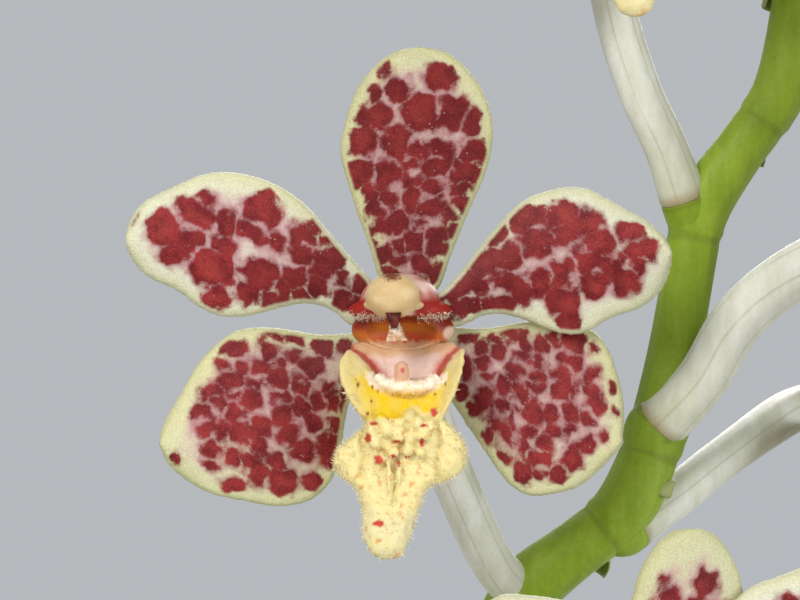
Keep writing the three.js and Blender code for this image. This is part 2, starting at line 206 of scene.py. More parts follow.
# Pot: thrown terracotta with a heavy rim band and three drain holes in its floor. It is drawn up ring by
# ring from its base disc, over the lip and down inside, and dried mineral salts bloom on the clay.
POT_SIDES = 120
POT_FOOT = (42.2, 0.0)
POT_RINGS = (
    (43.0, 0.9), (46.2, 20), (49.5, 40), (52.6, 58), (55.4, 75), (56.0, 78.6), (56.5, 79.0),
    (59.6, 79.1), (60.3, 79.8), (60.6, 84), (60.9, 92), (61.0, 97.6), (60.5, 99.2), (59.2, 99.95),
    (56.0, 100), (54.6, 99.4), (53.9, 97.6), (51.2, 80), (45, 45), (38.6, 9), (37.2, 7.2), (35.6, 7.0),
)
POT_EDGE_ANGLE = 40.0
DRAIN_RADIUS = 6.0
DRAIN_CIRCLE = 23.0
DRAIN_COUNT = 3
DRILL_LENGTH = 40.0
RIM_FOOT = 79.0


def modified(piece, kind, **settings):
    """Applies one modifier to a piece."""
    modifier = piece.modifiers.new(kind.lower(), kind)
    for key, setting in settings.items():
        setattr(modifier, key, setting)
    bpy.ops.object.select_all(action="DESELECT")
    piece.select_set(True)
    bpy.context.view_layer.objects.active = piece
    bpy.ops.object.modifier_apply(modifier=modifier.name)


def finished(piece, slot, material, *nodes):
    """Brings a piece from millimetres to metres with its place in its mesh, and ties it to the frame."""
    piece.data.transform(Matrix.Scale(MM, 4) @ piece.matrix_world)
    piece.matrix_world = Matrix.Identity(4)
    piece.data.materials.clear()
    piece.data.materials.append(material)
    piece.data.name = piece.name
    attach(piece, "root")
    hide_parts(*nodes)
    return piece


def pot_piece():
    bpy.ops.object.select_all(action="DESELECT")
    bpy.ops.mesh.primitive_circle_add(vertices=POT_SIDES, radius=POT_FOOT[0], fill_type="NGON")
    pot = bpy.context.object
    bpy.ops.object.mode_set(mode="EDIT")
    bpy.ops.mesh.select_all(action="SELECT")
    radius, height = POT_FOOT
    for ring_radius, ring_height in POT_RINGS:
        bpy.ops.mesh.extrude_region_move(TRANSFORM_OT_translate={"value": (0, 0, ring_height - height)})
        grow = ring_radius / radius
        bpy.ops.transform.resize(value=(grow, grow, 1), center_override=(0, 0, ring_height))
        radius, height = ring_radius, ring_height
    bpy.ops.mesh.select_all(action="SELECT")
    bpy.ops.mesh.normals_make_consistent(inside=False)
    bpy.ops.object.mode_set(mode="OBJECT")
    for i in range(DRAIN_COUNT):
        angle = (i + 0.5) / DRAIN_COUNT * 2 * np.pi
        place = (DRAIN_CIRCLE * np.cos(angle), DRAIN_CIRCLE * np.sin(angle), 0)
        bpy.ops.mesh.primitive_cylinder_add(
            vertices=32, radius=DRAIN_RADIUS, depth=DRILL_LENGTH, location=place
        )
        drill = bpy.context.object
        modified(pot, "BOOLEAN", object=drill, operation="DIFFERENCE", solver="EXACT")
        bpy.data.objects.remove(drill)
    bpy.ops.object.select_all(action="DESELECT")
    pot.select_set(True)
    bpy.context.view_layer.objects.active = pot
    bpy.ops.object.shade_smooth_by_angle(angle=np.radians(POT_EDGE_ANGLE))
    pot.name = "clay_pot"
    return pot


def terracotta():
    finish = Finish("terracotta")
    height = finish.node("ShaderNodeSeparateXYZ", None, {"Vector": finish.stretched((1, 1, 1))}, out="Z")
    cloud = finish.noise(22, 5)
    fine = finish.noise(1.1, 3)
    clay = finish.mix((cloud * 1.6 + 0.5).between(0.1, 0.9), (0.42, 0.145, 0.06), (0.56, 0.235, 0.115))
    damp = (height + cloud * 60).between(30, 4)
    clay = finish.mix(damp * 0.55, clay, (0.2, 0.07, 0.035))
    under_rim = (height + finish.noise(9, 3) * 14 - RIM_FOOT).size().between(7, 0)
    salt = (finish.noise(13, 6) + under_rim * 0.25 + finish.noise(2.2, 2) * 0.35).between(0.16, 0.34)
    clay = finish.mix(salt * 0.62, clay, (0.72, 0.62, 0.52))
    speck = finish.cells(1.9).between(0.16, 0.05) * finish.noise(5).between(0.0, 0.2)
    clay = finish.mix(speck * 0.5, clay, (0.16, 0.06, 0.04))
    turning = (height * 2.4 + finish.noise(30) * 6).wave()
    relief = ((turning * 0.035 + cloud * 0.2, 0.55), (fine * 0.12, 0.9))
    return finish.shell(finish.shade(clay, fine * 0.35 + 1), 0.86, relief, Specular_IOR_Level=0.3)


finished(pot_piece(), "terracotta", terracotta(), "pot")


# Bark bed: the potting bark fills the pot to below its rim. A dark plug of fine bark lies under some three
# hundred broken chips, cut as a few rough blocks and then copied, turned and heaped.
BED_FOOT = 7.3
BED_LEVEL = 83.0
BED_FOOT_RADIUS = 37.4
BED_RADIUS = 51.4
BED_CROWN = 2.5
BED_STEPS = 8
BED_STEP_WIDTH = 5.5
CHIP_KINDS = 6
CHIP_COUNT = 330
CHIP_LENGTHS = (6.5, 16.0)
CHIP_THICKNESSES = (2.6, 5.5)
CHIP_ROUGHNESS = 0.085
SUNFLOWER_TURN = 2.39996


def joined(pieces, name):
    """One piece out of several."""
    bpy.ops.object.select_all(action="DESELECT")
    for piece in pieces:
        piece.select_set(True)
    bpy.context.view_layer.objects.active = pieces[0]
    if len(pieces) > 1:
        bpy.ops.object.join()
    pieces[0].name = name
    return pieces[0]


def bed_piece():
    bpy.ops.mesh.primitive_cylinder_add(vertices=72, radius=BED_RADIUS, depth=BED_LEVEL - BED_FOOT)
    bed = bpy.context.object
    bed.location.z = (BED_LEVEL + BED_FOOT) / 2
    for corner in bed.data.vertices:
        if corner.co.z < 0:
            corner.co.xy *= BED_FOOT_RADIUS / BED_RADIUS
    bpy.ops.object.mode_set(mode="EDIT")
    bpy.ops.mesh.select_mode(type="FACE")
    bpy.ops.mesh.select_all(action="DESELECT")
    bpy.ops.object.mode_set(mode="OBJECT")
    for face in bed.data.polygons:
        face.select = face.normal.z > 0.9
    bpy.ops.object.mode_set(mode="EDIT")
    for _ in range(BED_STEPS):
        bpy.ops.mesh.inset(thickness=BED_STEP_WIDTH)
        bpy.ops.transform.translate(value=(0, 0, BED_CROWN / BED_STEPS))
    bpy.ops.object.mode_set(mode="OBJECT")
    bed.name = "bark_filling"
    return bed


def chip_kind(rng):
    bpy.ops.mesh.primitive_cube_add(size=1)
    chip = bpy.context.object
    bpy.ops.object.mode_set(mode="EDIT")
    bpy.ops.mesh.select_all(action="SELECT")
    bpy.ops.mesh.subdivide(number_cuts=1)
    bpy.ops.object.mode_set(mode="OBJECT")
    for corner in chip.data.vertices:
        corner.co += Vector(rng.normal(0, CHIP_ROUGHNESS, 3))
        corner.co.z *= 1 - 0.5 * abs(corner.co.x)
        corner.co.y *= 1 - 0.35 * abs(corner.co.x)
    return chip


def copied(piece, name):
    """A copy with a mesh of its own."""
    copy = bpy.data.objects.new(name, piece.data.copy())
    bpy.context.collection.objects.link(copy)
    return copy


def marked(piece, **marks):
    """Stores numbers at the mesh's corners for its material to read."""
    for name, numbers in marks.items():
        layer = piece.data.attributes.new(name, "FLOAT", "POINT")
        layer.data.foreach_set("value", np.asarray(numbers, np.float32))
    return piece


def bark_chips():
    rng = np.random.default_rng(11)
    kinds = [chip_kind(rng) for _ in range(CHIP_KINDS)]
    chips = []
    for i in range(CHIP_COUNT):
        chip = copied(kinds[i % CHIP_KINDS], "chip")
        length = rng.uniform(*CHIP_LENGTHS) * (1 if i % 3 else 0.7)
        away = (BED_RADIUS + 1.2 - 0.42 * length) * np.sqrt((i + 0.5) / CHIP_COUNT)
        angle = i * SUNFLOWER_TURN
        top = BED_LEVEL + BED_CROWN * (1 - away / BED_RADIUS) + rng.uniform(-1.5, 2.6)
        turn = Matrix.Rotation(rng.uniform(0, 6.3), 4, "Z") @ Matrix.Rotation(rng.normal(0, 0.38), 4, "X")
        turn = turn @ Matrix.Rotation(rng.normal(0, 0.3), 4, "Y")
        size = Matrix.Diagonal((length, length * rng.uniform(0.5, 0.8), rng.uniform(*CHIP_THICKNESSES), 1))
        place = Matrix.Translation((away * np.cos(angle), away * np.sin(angle), top))
        chip.data.transform(place @ turn @ size)
        marked(chip, shade=np.full(len(chip.data.vertices), rng.uniform(0, 1)))
        chips.append(chip)
    for kind in kinds:
        bpy.data.objects.remove(kind)
    return joined(chips, "bark_chips")


def bark(name, chipped):
    finish = Finish(name)
    grain = finish.noise(1.0, 5, finish.stretched((0.35, 0.35, 1.6)))
    rough = finish.noise(3.5, 6)
    tint = finish.mark("shade") if chipped else finish.noise(6, 3) + 0.3
    dark = finish.mix(tint, (0.045, 0.02, 0.012), (0.13, 0.055, 0.028))
    cut = finish.mix((rough + grain + tint * 0.3).between(0.0, 0.45), dark, (0.27, 0.135, 0.07))
    dusty = finish.mix(finish.noise(1.6, 4).between(0.16, 0.4) * 0.5, cut, (0.33, 0.24, 0.17))
    colour = finish.shade(dusty, rough * 1.3 + 1)
    return finish.shell(colour, 0.9, ((grain * 0.5, 0.9), (rough * 1.6, 0.9)), Specular_IOR_Level=0.25)


finished(bed_piece(), "bark", bark("fine_bark", False), "bark_bed")
finished(bark_chips(), "bark", bark("bark_chips", True), "bark_bed")


# Stem: one upright green cane, a little thinner at its growing end. It stands in the bark, bare and ringed
# by old leaf scars at its foot and wrapped by the leaf sheaths above.
STEM_FOOT = 42.0
STEM_TOP = 221.0
STEM_RADIUS = 5.0
STEM_TOP_RADIUS = 4.0
LEAF_SPACING = 12.0
SCAR_RISE = 2.0
WELD_DISTANCE = 0.0005
RIBS = 6


def stem_radius(height):
    return STEM_RADIUS + (STEM_TOP_RADIUS - STEM_RADIUS) * (height - STEM_FOOT) / (STEM_TOP - STEM_FOOT)


def eased(low, high, value):
    """0 at low and 1 at high, easing in and out."""
    share = np.clip((value - low) / (high - low), 0, 1)
    return share * share * (3 - 2 * share)


def formed(name, columns, rows, place):
    """A grid primitive whose corners place(u, v) moves and marks, welded into a solid where they meet."""
    bpy.ops.object.select_all(action="DESELECT")
    bpy.ops.mesh.primitive_grid_add(x_subdivisions=columns, y_subdivisions=rows, size=2)
    piece = bpy.context.object
    piece.name = name
    flat = np.empty(3 * len(piece.data.vertices))
    piece.data.vertices.foreach_get("co", flat)
    flat = (flat.reshape(-1, 3) + 1) / 2
    corners, marks = place(flat[:, 0], flat[:, 1])
    piece.data.vertices.foreach_set("co", np.asarray(corners, float).ravel())
    piece.data.update()
    marked(piece, **marks)
    bpy.ops.object.mode_set(mode="EDIT")
    bpy.ops.mesh.select_all(action="SELECT")
    bpy.ops.mesh.remove_doubles(threshold=WELD_DISTANCE)
    bpy.ops.mesh.normals_make_consistent(inside=False)
    bpy.ops.object.mode_set(mode="OBJECT")
    bpy.ops.object.shade_smooth()
    return piece


def swept(name, line, radius, around):
    """A round piece along a line, closed at both ends. radius(share, angle) gives its half thickness."""
    line = np.asarray(line, float)
    last = len(line) - 1
    tangent = np.gradient(line, axis=0)
    tangent /= np.linalg.norm(tangent, axis=1)[:, None]
    side = np.zeros_like(line)
    side[0] = np.cross(tangent[0], (0.31, 0.9, 0.2))
    for i in range(len(line)):
        side[i] = side[max(i - 1, 0)] - tangent[i] * (side[max(i - 1, 0)] @ tangent[i])
        side[i] /= np.linalg.norm(side[i])
    other = np.cross(tangent, side)

    def place(u, v):
        row = np.rint(v * (last + 2)).astype(int)
        at = np.clip(row - 1, 0, last)
        angle = 2 * np.pi * u
        wide = radius(at / last, angle) * ((row > 0) & (row < last + 2))
        ring = np.cos(angle)[:, None] * side[at] + np.sin(angle)[:, None] * other[at]
        return line[at] + wide[:, None] * ring, {"along": at / last, "rib": np.cos(RIBS * angle)}

    return formed(name, around, last + 2, place)


def stem_piece():
    line = np.linspace((0, 0, STEM_FOOT), (0, 0, STEM_TOP), 260)

    def radius(share, angle):
        height = STEM_FOOT + share * (STEM_TOP - STEM_FOOT)
        past = (height + SCAR_RISE) % LEAF_SPACING - SCAR_RISE
        ring = 0.35 * np.exp(-(past / 0.7) ** 2) - 0.18 * np.exp(-((past - 1.4) / 0.5) ** 2)
        return (stem_radius(height) + ring) * (1 - eased(0.985, 1.0, share) * 0.7)

    return swept("upright_stem", line, radius, 40)


def stem_skin():
    finish = Finish("stem_skin")
    height = finish.node("ShaderNodeSeparateXYZ", None, {"Vector": finish.stretched((1, 1, 1))}, out="Z")
    streak = finish.noise(1.0, 4, finish.stretched((0.8, 0.8, 0.06)))
    green = finish.mix(streak + 0.5, (0.13, 0.19, 0.045), (0.24, 0.29, 0.08))
    husk = finish.mix(streak * 1.6 + 0.5, (0.2, 0.13, 0.06), (0.42, 0.33, 0.2))
    old = (height + finish.noise(5, 3) * 14).between(112, 98)
    colour = finish.shade(finish.mix(old, green, husk), streak * 0.7 + 1)
    return finish.shell(colour, 0.62, ((streak * 0.35, 0.8),))


finished(stem_piece(), "stem", stem_skin(), "stem")


# Aerial roots: four thick cords sheathed in spongy silver-grey velamen. They push out between the leaf
# sheaths; three turn down into the bark and the last reaches over the rim to its green growing tip.
PATH_STEPS = 30
ROOT_RADIUS = 2.0
ROOTS = (
    ((1, -3, 104), (3.5, -12, 105), (2, -22, 99), (-3, -31, 90), (-5, -34, 76)),
    ((-1, 3, 101), (-3, 13, 102), (2, 22, 98), (9, 29, 88), (11, 31, 76)),
    ((1, -3, 124), (4, -13, 126), (11, -25, 121), (18, -34, 106), (22, -38, 90), (23, -39, 75)),
    ((-1, 3, 130), (-4, 14, 134), (-14, 33, 130), (-30, 51, 114), (-38, 60, 92), (-37, 63, 66),
     (-31, 66, 46)),
)


def smooth_path(points, count):
    """Evenly spaced points on the smooth curve through the given ones."""
    p = np.array(points, float)
    p = np.vstack([2 * p[0] - p[1], p, 2 * p[-1] - p[-2]])
    knots = np.concatenate([[0], np.cumsum(np.linalg.norm(np.diff(p, axis=0), axis=1) ** 0.5)])
    line = []
    for i in range(1, len(p) - 2):
        k0, k1, k2, k3 = knots[i - 1:i + 3]
        t = np.linspace(k1, k2, PATH_STEPS, endpoint=False)[:, None]
        a1 = ((k1 - t) * p[i - 1] + (t - k0) * p[i]) / (k1 - k0)
        a2 = ((k2 - t) * p[i] + (t - k1) * p[i + 1]) / (k2 - k1)
        a3 = ((k3 - t) * p[i + 1] + (t - k2) * p[i + 2]) / (k3 - k2)
        b1 = ((k2 - t) * a1 + (t - k0) * a2) / (k2 - k0)
        b2 = ((k3 - t) * a2 + (t - k1) * a3) / (k3 - k1)
        line.append(((k2 - t) * b1 + (t - k1) * b2) / (k2 - k1))
    line = np.vstack([*line, p[-2]])
    run = np.concatenate([[0], np.cumsum(np.linalg.norm(np.diff(line, axis=0), axis=1))])
    even = np.linspace(0, run[-1], count)
    return np.stack([np.interp(even, run, line[:, k]) for k in range(line.shape[1])], axis=1)


def root_piece(index, points, free):
    line = smooth_path(points, 40 + 20 * len(points))

    def radius(share, angle):
        swell = 1 + 0.05 * np.sin(31 * share + index) + 0.03 * np.sin(77 * share + 2 * angle)
        collar = 0.25 * np.exp(-(share / 0.04) ** 2)
        tip = np.sqrt(np.clip((1 - share) / 0.028, 0, 1)) if free else 1.0
        slim = 1 - 0.15 * eased(0.8, 1, share) * free
        return ROOT_RADIUS * (swell + collar) * slim * np.clip(tip, 0.04, 1)

    return swept(f"aerial_root_{index + 1:02d}", line, radius, 20)


def velamen(name, free):
    finish = Finish(name)
    along = finish.mark("along")
    grain = finish.noise(0.5, 4)
    cloud = finish.noise(7, 3)
    silver = finish.mix((cloud * 1.5 + 0.5), (0.36, 0.39, 0.3), (0.6, 0.6, 0.52))
    silver = finish.mix(finish.noise(3.0, 4).between(0.08, 0.3) * 0.6, silver, (0.3, 0.23, 0.15))
    if free:
        silver = finish.mix((along + cloud * 0.02).between(0.885, 0.925), silver, (0.2, 0.36, 0.07))
        silver = finish.mix(along.between(0.965, 1.0) * 0.6, silver, (0.3, 0.12, 0.08))
    colour = finish.shade(silver, grain * 0.5 + 1)
    return finish.shell(colour, 0.78, ((grain * 0.12, 0.8), (cloud * 0.5, 0.5)))


for i, points in enumerate(ROOTS):
    free = i == len(ROOTS) - 1
    skin = velamen(f"velamen_{i + 1:02d}", free)
    finished(root_piece(i, points, free), "root", skin, f"root_{i + 1:02d}")


# Leaves: ten thick straps in two ranks. Each clasps the stem with its sheath, then arches out, folded along
# its midrib, to a blunt tip with two unequal lobes. The upper face is satin green with fine parallel veins.
LEAF_COUNT = 10
LOWEST_LEAF = 97.0
FAN_AZIMUTH = 15.0
SHEATH_LENGTH = 16.0
SHEATH_HALF_ANGLE = 150.0
SHEATH_CLEARANCE = 1.35
LEAF_THICKNESS = 1.7
LEAF_HALF_WIDTH = 14.0
LEAF_STEPS = 150
LEAF_ROWS = 90
LEAF_COLUMNS = 48
FOLD_ANGLES = (30.0, 18.0)
KEEL_DEPTH = 0.7
GROOVE_DEPTH = 0.25
TIP_START = 0.82
TIP_LOBE = 1.9
TIP_NOTCH = 2.6
TIP_ROUNDING = 5.5


def leaf_shape(index):
    up = index / (LEAF_COUNT - 1)
    height = LOWEST_LEAF + index * LEAF_SPACING
    return {
        "azimuth": np.radians(FAN_AZIMUTH + (index % 2) * 180 + 5 * np.sin(2.3 * index)),
        "height": height,
        "sheath": stem_radius(height) + SHEATH_CLEARANCE,
        "length": 160 - 54 * up * up + 5 * np.sin(1.7 * index),
        "start": 60 - 38 * up ** 1.5,
        "end": 116 - 58 * up ** 1.5,
    }


def leaf_spine(shape):
    """Points up the midrib, the direction towards the upper face at each, and the distance along."""
    out = np.array((np.cos(shape["azimuth"]), np.sin(shape["azimuth"]), 0))
    across = np.array((-out[1], out[0], 0))
    total = shape["length"] + SHEATH_LENGTH
    along = np.linspace(0, total, LEAF_STEPS + 1)
    past = np.maximum(0, along - 0.55 * SHEATH_LENGTH) / shape["length"]
    lean = np.radians(shape["start"] * eased(0, 0.1, past) + (shape["end"] - shape["start"]) * past ** 1.4)
    tangent = np.sin(lean)[:, None] * out + np.cos(lean)[:, None] * np.array((0, 0, 1))
    foot = np.array((0, 0, shape["height"])) + out * shape["sheath"]
    points = foot + np.vstack([np.zeros(3), np.cumsum(tangent[:-1], axis=0)]) * total / LEAF_STEPS
    return points, np.cross(tangent, across), across, along, tangent


def leaf_piece(index):
    shape = leaf_shape(index)
    points, inward, across, along, tangent = leaf_spine(shape)
    total = along[-1]
    lobe = TIP_LOBE * (-1) ** index

    def place(u, v):
        x = np.where(u < 0.5, 4 * u - 1, 3 - 4 * u)
        face = np.where(u < 0.5, -1.0, 1.0)
        face[(u == 0) | (u == 1) | (u == 0.5)] = 0
        row = v * LEAF_STEPS
        low = np.minimum(row.astype(int), LEAF_STEPS - 1)
        part = (row - low)[:, None]
        at = points[low] * (1 - part) + points[low + 1] * part
        deep_way = inward[low] * (1 - part) + inward[low + 1] * part
        on_way = tangent[low]
        run = v * total
        share = run / total
        free = eased(0.55 * SHEATH_LENGTH, 1.9 * SHEATH_LENGTH, run)
        fold = np.radians(FOLD_ANGLES[0] + (FOLD_ANGLES[1] - FOLD_ANGLES[0]) * eased(0.1, 0.5, share))
        taper = 1 - 0.3 * eased(TIP_START, 1, share) - 0.25 * (1 - eased(0, 0.35, share))
        edge = np.sqrt(np.clip(1 - np.abs(x) ** 5, 0, 1))
        thick = LEAF_THICKNESS * (0.5 + 0.5 * eased(0, SHEATH_LENGTH * 1.5, run))
        thick = thick * (1 - 0.35 * np.abs(x))
        closing = np.sqrt(np.clip(np.minimum(v, 1 - v) / 0.012, 0, 1))
        skin = face * edge * thick / 2 * closing
        keel = (face < 0) * KEEL_DEPTH * np.exp(-(x / 0.13) ** 2) * free * closing
        groove = (face > 0) * GROOVE_DEPTH * np.exp(-(x / 0.06) ** 2) * free * closing
        angle = np.radians(SHEATH_HALF_ANGLE) * x * (1 - 0.25 * free)
        tube = shape["sheath"] + 1.1 * eased(0, SHEATH_LENGTH, run) - skin
        wrapped = tube * np.sin(angle), shape["sheath"] - tube * np.cos(angle)
        ripple = 0.5 * np.sin(run / 9 + 2 * index) * np.abs(x) ** 3 * free
        reach = LEAF_HALF_WIDTH * taper * x
        opened = reach * np.cos(fold), np.abs(reach) * np.sin(fold) + skin - keel - groove + ripple
        wide, deep = [near * (1 - free) + far * free for near, far in zip(wrapped, opened)]
        notch = TIP_NOTCH * np.exp(-(x / 0.14) ** 2)
        ahead = (lobe * x - notch - TIP_ROUNDING * np.abs(x) ** 4) * eased(TIP_START, 1.0, share)
        corners = at + wide[:, None] * across + deep[:, None] * deep_way + ahead[:, None] * on_way
        return corners, {"across": x, "along": share, "upper": (face > 0) * 1.0}

    return formed(f"leaf_blade_{index + 1:02d}", LEAF_COLUMNS, LEAF_ROWS, place)


def leaf_skin():
    finish = Finish("leaf_skin")
    across = finish.mark("across")
    along = finish.mark("along")
    upper = finish.mark("upper")
    lengthwise = {0: across * 16, 1: along * 3, 2: upper * 9}
    lengthwise = finish.node("ShaderNodeCombineXYZ", None, lengthwise)
    vein = finish.noise(1.0, 4, lengthwise)
    fine_vein = finish.noise(0.28, 2, lengthwise)
    cloud = finish.noise(16, 4)
    green = finish.mix((cloud + vein * 0.8 + 0.5), (0.028, 0.085, 0.016), (0.085, 0.19, 0.035))
    under = finish.mix(vein + 0.5, (0.1, 0.19, 0.05), (0.16, 0.27, 0.08))
    green = finish.mix(upper, under, green)
    sheath = finish.mix(vein * 1.3 + 0.5, (0.17, 0.24, 0.06), (0.3, 0.36, 0.13))
    green = finish.mix((along + vein * 0.05).between(0.17, 0.07), green, sheath)
    rib = across.size().between(0.05, 0.0)
    green = finish.mix(rib * 0.45, green, (0.19, 0.3, 0.08))
    margin = (across.size() + cloud * 0.06).between(0.95, 1.0)
    green = finish.mix(margin * 0.5, green, (0.26, 0.3, 0.09))
    dry = (along + finish.noise(3, 4) * 0.035).between(0.985, 1.0)
    green = finish.mix(dry * 0.85, green, (0.3, 0.17, 0.07))
    freckle = finish.cells(3.1).between(0.16, 0.05) * finish.noise(9, 3).between(0.05, 0.25)
    green = finish.mix(freckle * 0.55, green, (0.12, 0.06, 0.03))
    colour = finish.shade(green, fine_vein * 0.22 + 1)
    relief = ((vein * 0.35 + fine_vein * 0.08, 0.6), (finish.noise(0.5, 2) * 0.05, 0.5))
    return finish.shell(colour, (cloud * 0.3 + 0.4), relief, Specular_IOR_Level=0.5)


leaf_green = leaf_skin()
for i in range(LEAF_COUNT):
    finished(leaf_piece(i), "leaf", leaf_green, f"leaf_{i + 1:02d}")


# Flower spike: it leaves the stem between the leaves and leans out to the right, turning a little at each
# node. It is one ribbed, streaked green axis, swollen and ringed at every node.
SPIKE_DEPTH = 11.0
SPIKE_RADIUS = 2.8
SPIKE_TIP_RADIUS = 1.1
SPIKE_ROWS = 520
SPIKE_EASING = 12
SPIKE_TAPER = 1.9
NODE_RING = 2.6
SPIKE_FOOT = (
    (0.2, -3.3, 146), (1.6, -13, 149), (8, -24, 167), (17, -33, 195), (29, -41, 230), (42, -46, 262),
)
NODES = (
    (-4, -52), (0.6, -42.5), (4.2, -32), (8.7, -20.3), (16.4, -14.4), (19, -8), (21.8, 8),
    (27.8, 16.3), (29.4, 27), (34, 37), (36.5, 48),
)
BUD_NODES = ((41, 57), (42.8, 65), (46, 72), (47.6, 78), (49.6, 83))
SPIKE_TIP = (51, 87)


def on_spike(place):
    return FRONT_FLOWER + (place[0], SPIKE_DEPTH, place[1])


def softened(line, rounds):
    """Rounds off the kinks of an evenly spaced line and keeps its ends."""
    line = line.copy()
    for _ in range(rounds):
        line[1:-1] = line[1:-1] / 2 + (line[:-2] + line[2:]) / 4
    return line


def zigzag(points):
    """Way points that keep the axis straight between its nodes, so that it bends at each one."""
    points = np.array(points, float)
    ahead = np.diff(points, axis=0)
    runs = np.stack([points[:-1], points[:-1] + 0.3 * ahead, points[:-1] + 0.7 * ahead], axis=1)
    return [*runs.reshape(-1, 3), points[-1]]


spike_line = [*SPIKE_FOOT, *zigzag([on_spike(node) for node in (*NODES, *BUD_NODES, SPIKE_TIP)])]
spike_line = softened(smooth_path(spike_line, SPIKE_ROWS), SPIKE_EASING)
spike_run = np.concatenate([[0], np.cumsum(np.linalg.norm(np.diff(spike_line, axis=0), axis=1))])


def spike_row(node):
    """The row of the spike's line that is nearest to a node."""
    return np.argmin(np.linalg.norm(spike_line - on_spike(node), axis=1))


node_runs = np.array([spike_run[spike_row(node)] for node in (*NODES, *BUD_NODES)])


def spike_radius(run):
    slim = SPIKE_RADIUS + (SPIKE_TIP_RADIUS - SPIKE_RADIUS) * (run / spike_run[-1]) ** SPIKE_TAPER
    past = run[:, None] - node_runs
    swell = 0.13 * np.exp(-((past - 0.5) / 3.4) ** 2)
    ring = 0.03 * np.exp(-((past + NODE_RING - 0.6) / 0.3) ** 2)
    groove = 0.04 * np.exp(-((past + NODE_RING) / 0.25) ** 2)
    return slim * (1 + (swell + ring - groove).sum(axis=1))


def spike_piece():
    def radius(share, angle):
        run = share * spike_run[-1]
        round_end = np.sqrt(np.clip((1 - share) / 0.002, 0.05, 1))
        return spike_radius(run) * (1 + 0.02 * np.cos(5 * angle + run / 40)) * round_end

    piece = swept("spike_axis", spike_line, radius, 32)
    along = np.empty(len(piece.data.vertices), np.float32)
    piece.data.attributes["along"].data.foreach_get("value", along)
    joint = along[:, None] * spike_run[-1] - node_runs + NODE_RING
    return marked(piece, joint=np.abs(joint).min(axis=1))


def spike_skin():
    finish = Finish("spike_skin")
    joint = finish.mark("joint")
    streak = finish.noise(1.0, 3, finish.stretched((1.1, 1.1, 0.12)))
    cloud = finish.noise(7, 3)
    tone = (streak * 0.8 + cloud * 1.3 + 0.5).between(0, 1)
    green = finish.mix(tone, (0.17, 0.265, 0.01), (0.29, 0.4, 0.035))
    green = finish.mix((joint + cloud * 1.5).between(0.4, 0.05) * 0.35, green, (0.12, 0.13, 0.015))
    line = finish.noise(0.5, 2, finish.stretched((1.3, 1.3, 0.05))).between(0.2, 0.3)
    line = line * cloud.between(0.0, 0.2)
    green = finish.mix(line * 0.5, green, (0.12, 0.06, 0.012))
    pale = finish.noise(2.4, 3, finish.stretched((1, 1, 0.3))).between(0.12, 0.3)
    green = finish.mix(pale * 0.18, green, (0.42, 0.46, 0.17))
    colour = finish.shade(green, finish.noise(0.35, 2) * 0.3 + 1)
    relief = ((streak * 0.18, 0.7), (finish.noise(0.4, 2) * 0.05, 0.6))
    return finish.shell(colour, 0.5, relief, Specular_IOR_Level=0.25)


spike_green = spike_skin()
finished(spike_piece(), "spike", spike_green, "flower_spike")


# Open flowers: each stands on a thick white stalk, jointed to a green knob of the spike over a small dry
# scale. FLOWERS says where a flower's centre is from the front one's (right, up, back), how it is turned
# and how far its petals are lifted. In its own axes x is to the viewer's right, z up and the viewer at -y.
FLOWERS = (
    {"centre": (-16, -46, -4), "yaw": -35, "pitch": 4, "roll": 0, "size": 0.98, "lift": (8, 8)},
    {"centre": (-16, -48, 26), "yaw": -148, "pitch": 8, "roll": -6, "size": 1.0, "lift": (12, 12)},
    {"centre": (19.3, -32.9, -6), "yaw": 15, "pitch": 2, "roll": 2, "size": 0.985, "lift": (28, 40),
     "slim": 0.8, "pattern": 0.88},
    {"centre": (0, 0, 0), "yaw": 0, "pitch": 0, "roll": 0, "size": 1.0, "lift": (0, 0),
     "stalk": ((70.3, -47, 323.9), (68.6, -49.5, 325.9), (65.8, -53.5, 331.9), (63.2, -55.6, 338.5))},
    {"centre": (34.5, -7, 28), "yaw": 74, "pitch": 4, "roll": 0, "size": 0.98, "lift": (6, 6),
     "stalk": ((78.6, -46.5, 328.2), (82.0, -44.5, 330.4), (86.3, -40, 333.2), (91.8, -33, 336.2))},
    {"centre": (41, 7, -7), "yaw": 58, "pitch": 6, "roll": 5, "size": 1.0, "lift": (10, 10), "stout": 1.2,
     "stalk": ((80.6, -47.6, 335.9), (83.7, -49, 339.3), (85.9, -50.5, 343.2), (88.9, -53, 346.3),
               (93.5, -58, 348.8))},
    {"centre": (17.6, 36.5, -0.5), "yaw": -8, "pitch": 4, "roll": 0, "size": 1.0, "lift": (5, 5),
     "stalk": ((82.6, -47.6, 352.2), (81.2, -48.5, 356.0), (79.1, -49.5, 360.4), (77.2, -50, 366.7),
               (76.6, -51, 374))},
    {"centre": (50, 35, 22), "yaw": 104, "pitch": 6, "roll": 8, "size": 0.98, "lift": (0, 0)},
    {"centre": (12, 45, 34), "yaw": -150, "pitch": 10, "roll": 5, "size": 0.97, "lift": (8, 8)},
    {"centre": (56, 51, -6), "yaw": 48, "pitch": 10, "roll": -8, "size": 0.95, "lift": (14, 14)},
    {"centre": (21, 78, 1), "yaw": -26, "pitch": 14, "roll": 5, "size": 0.93, "lift": (10, 10)},
)
FRONT = 3
NECK = 2.4
STALK_RADIUS = 1.55
STALK_ROWS = 90
SOCKET_HEIGHTS = (2.2, 0.5)
SOCKET_ROWS = 8
SCALE_EDGE = ((-1.0, 0, -0.5), (-0.9, 0, 0.15), (-0.5, 0, 0.6), (0, 0, 0.85))
SCALE_DROP = 4.8


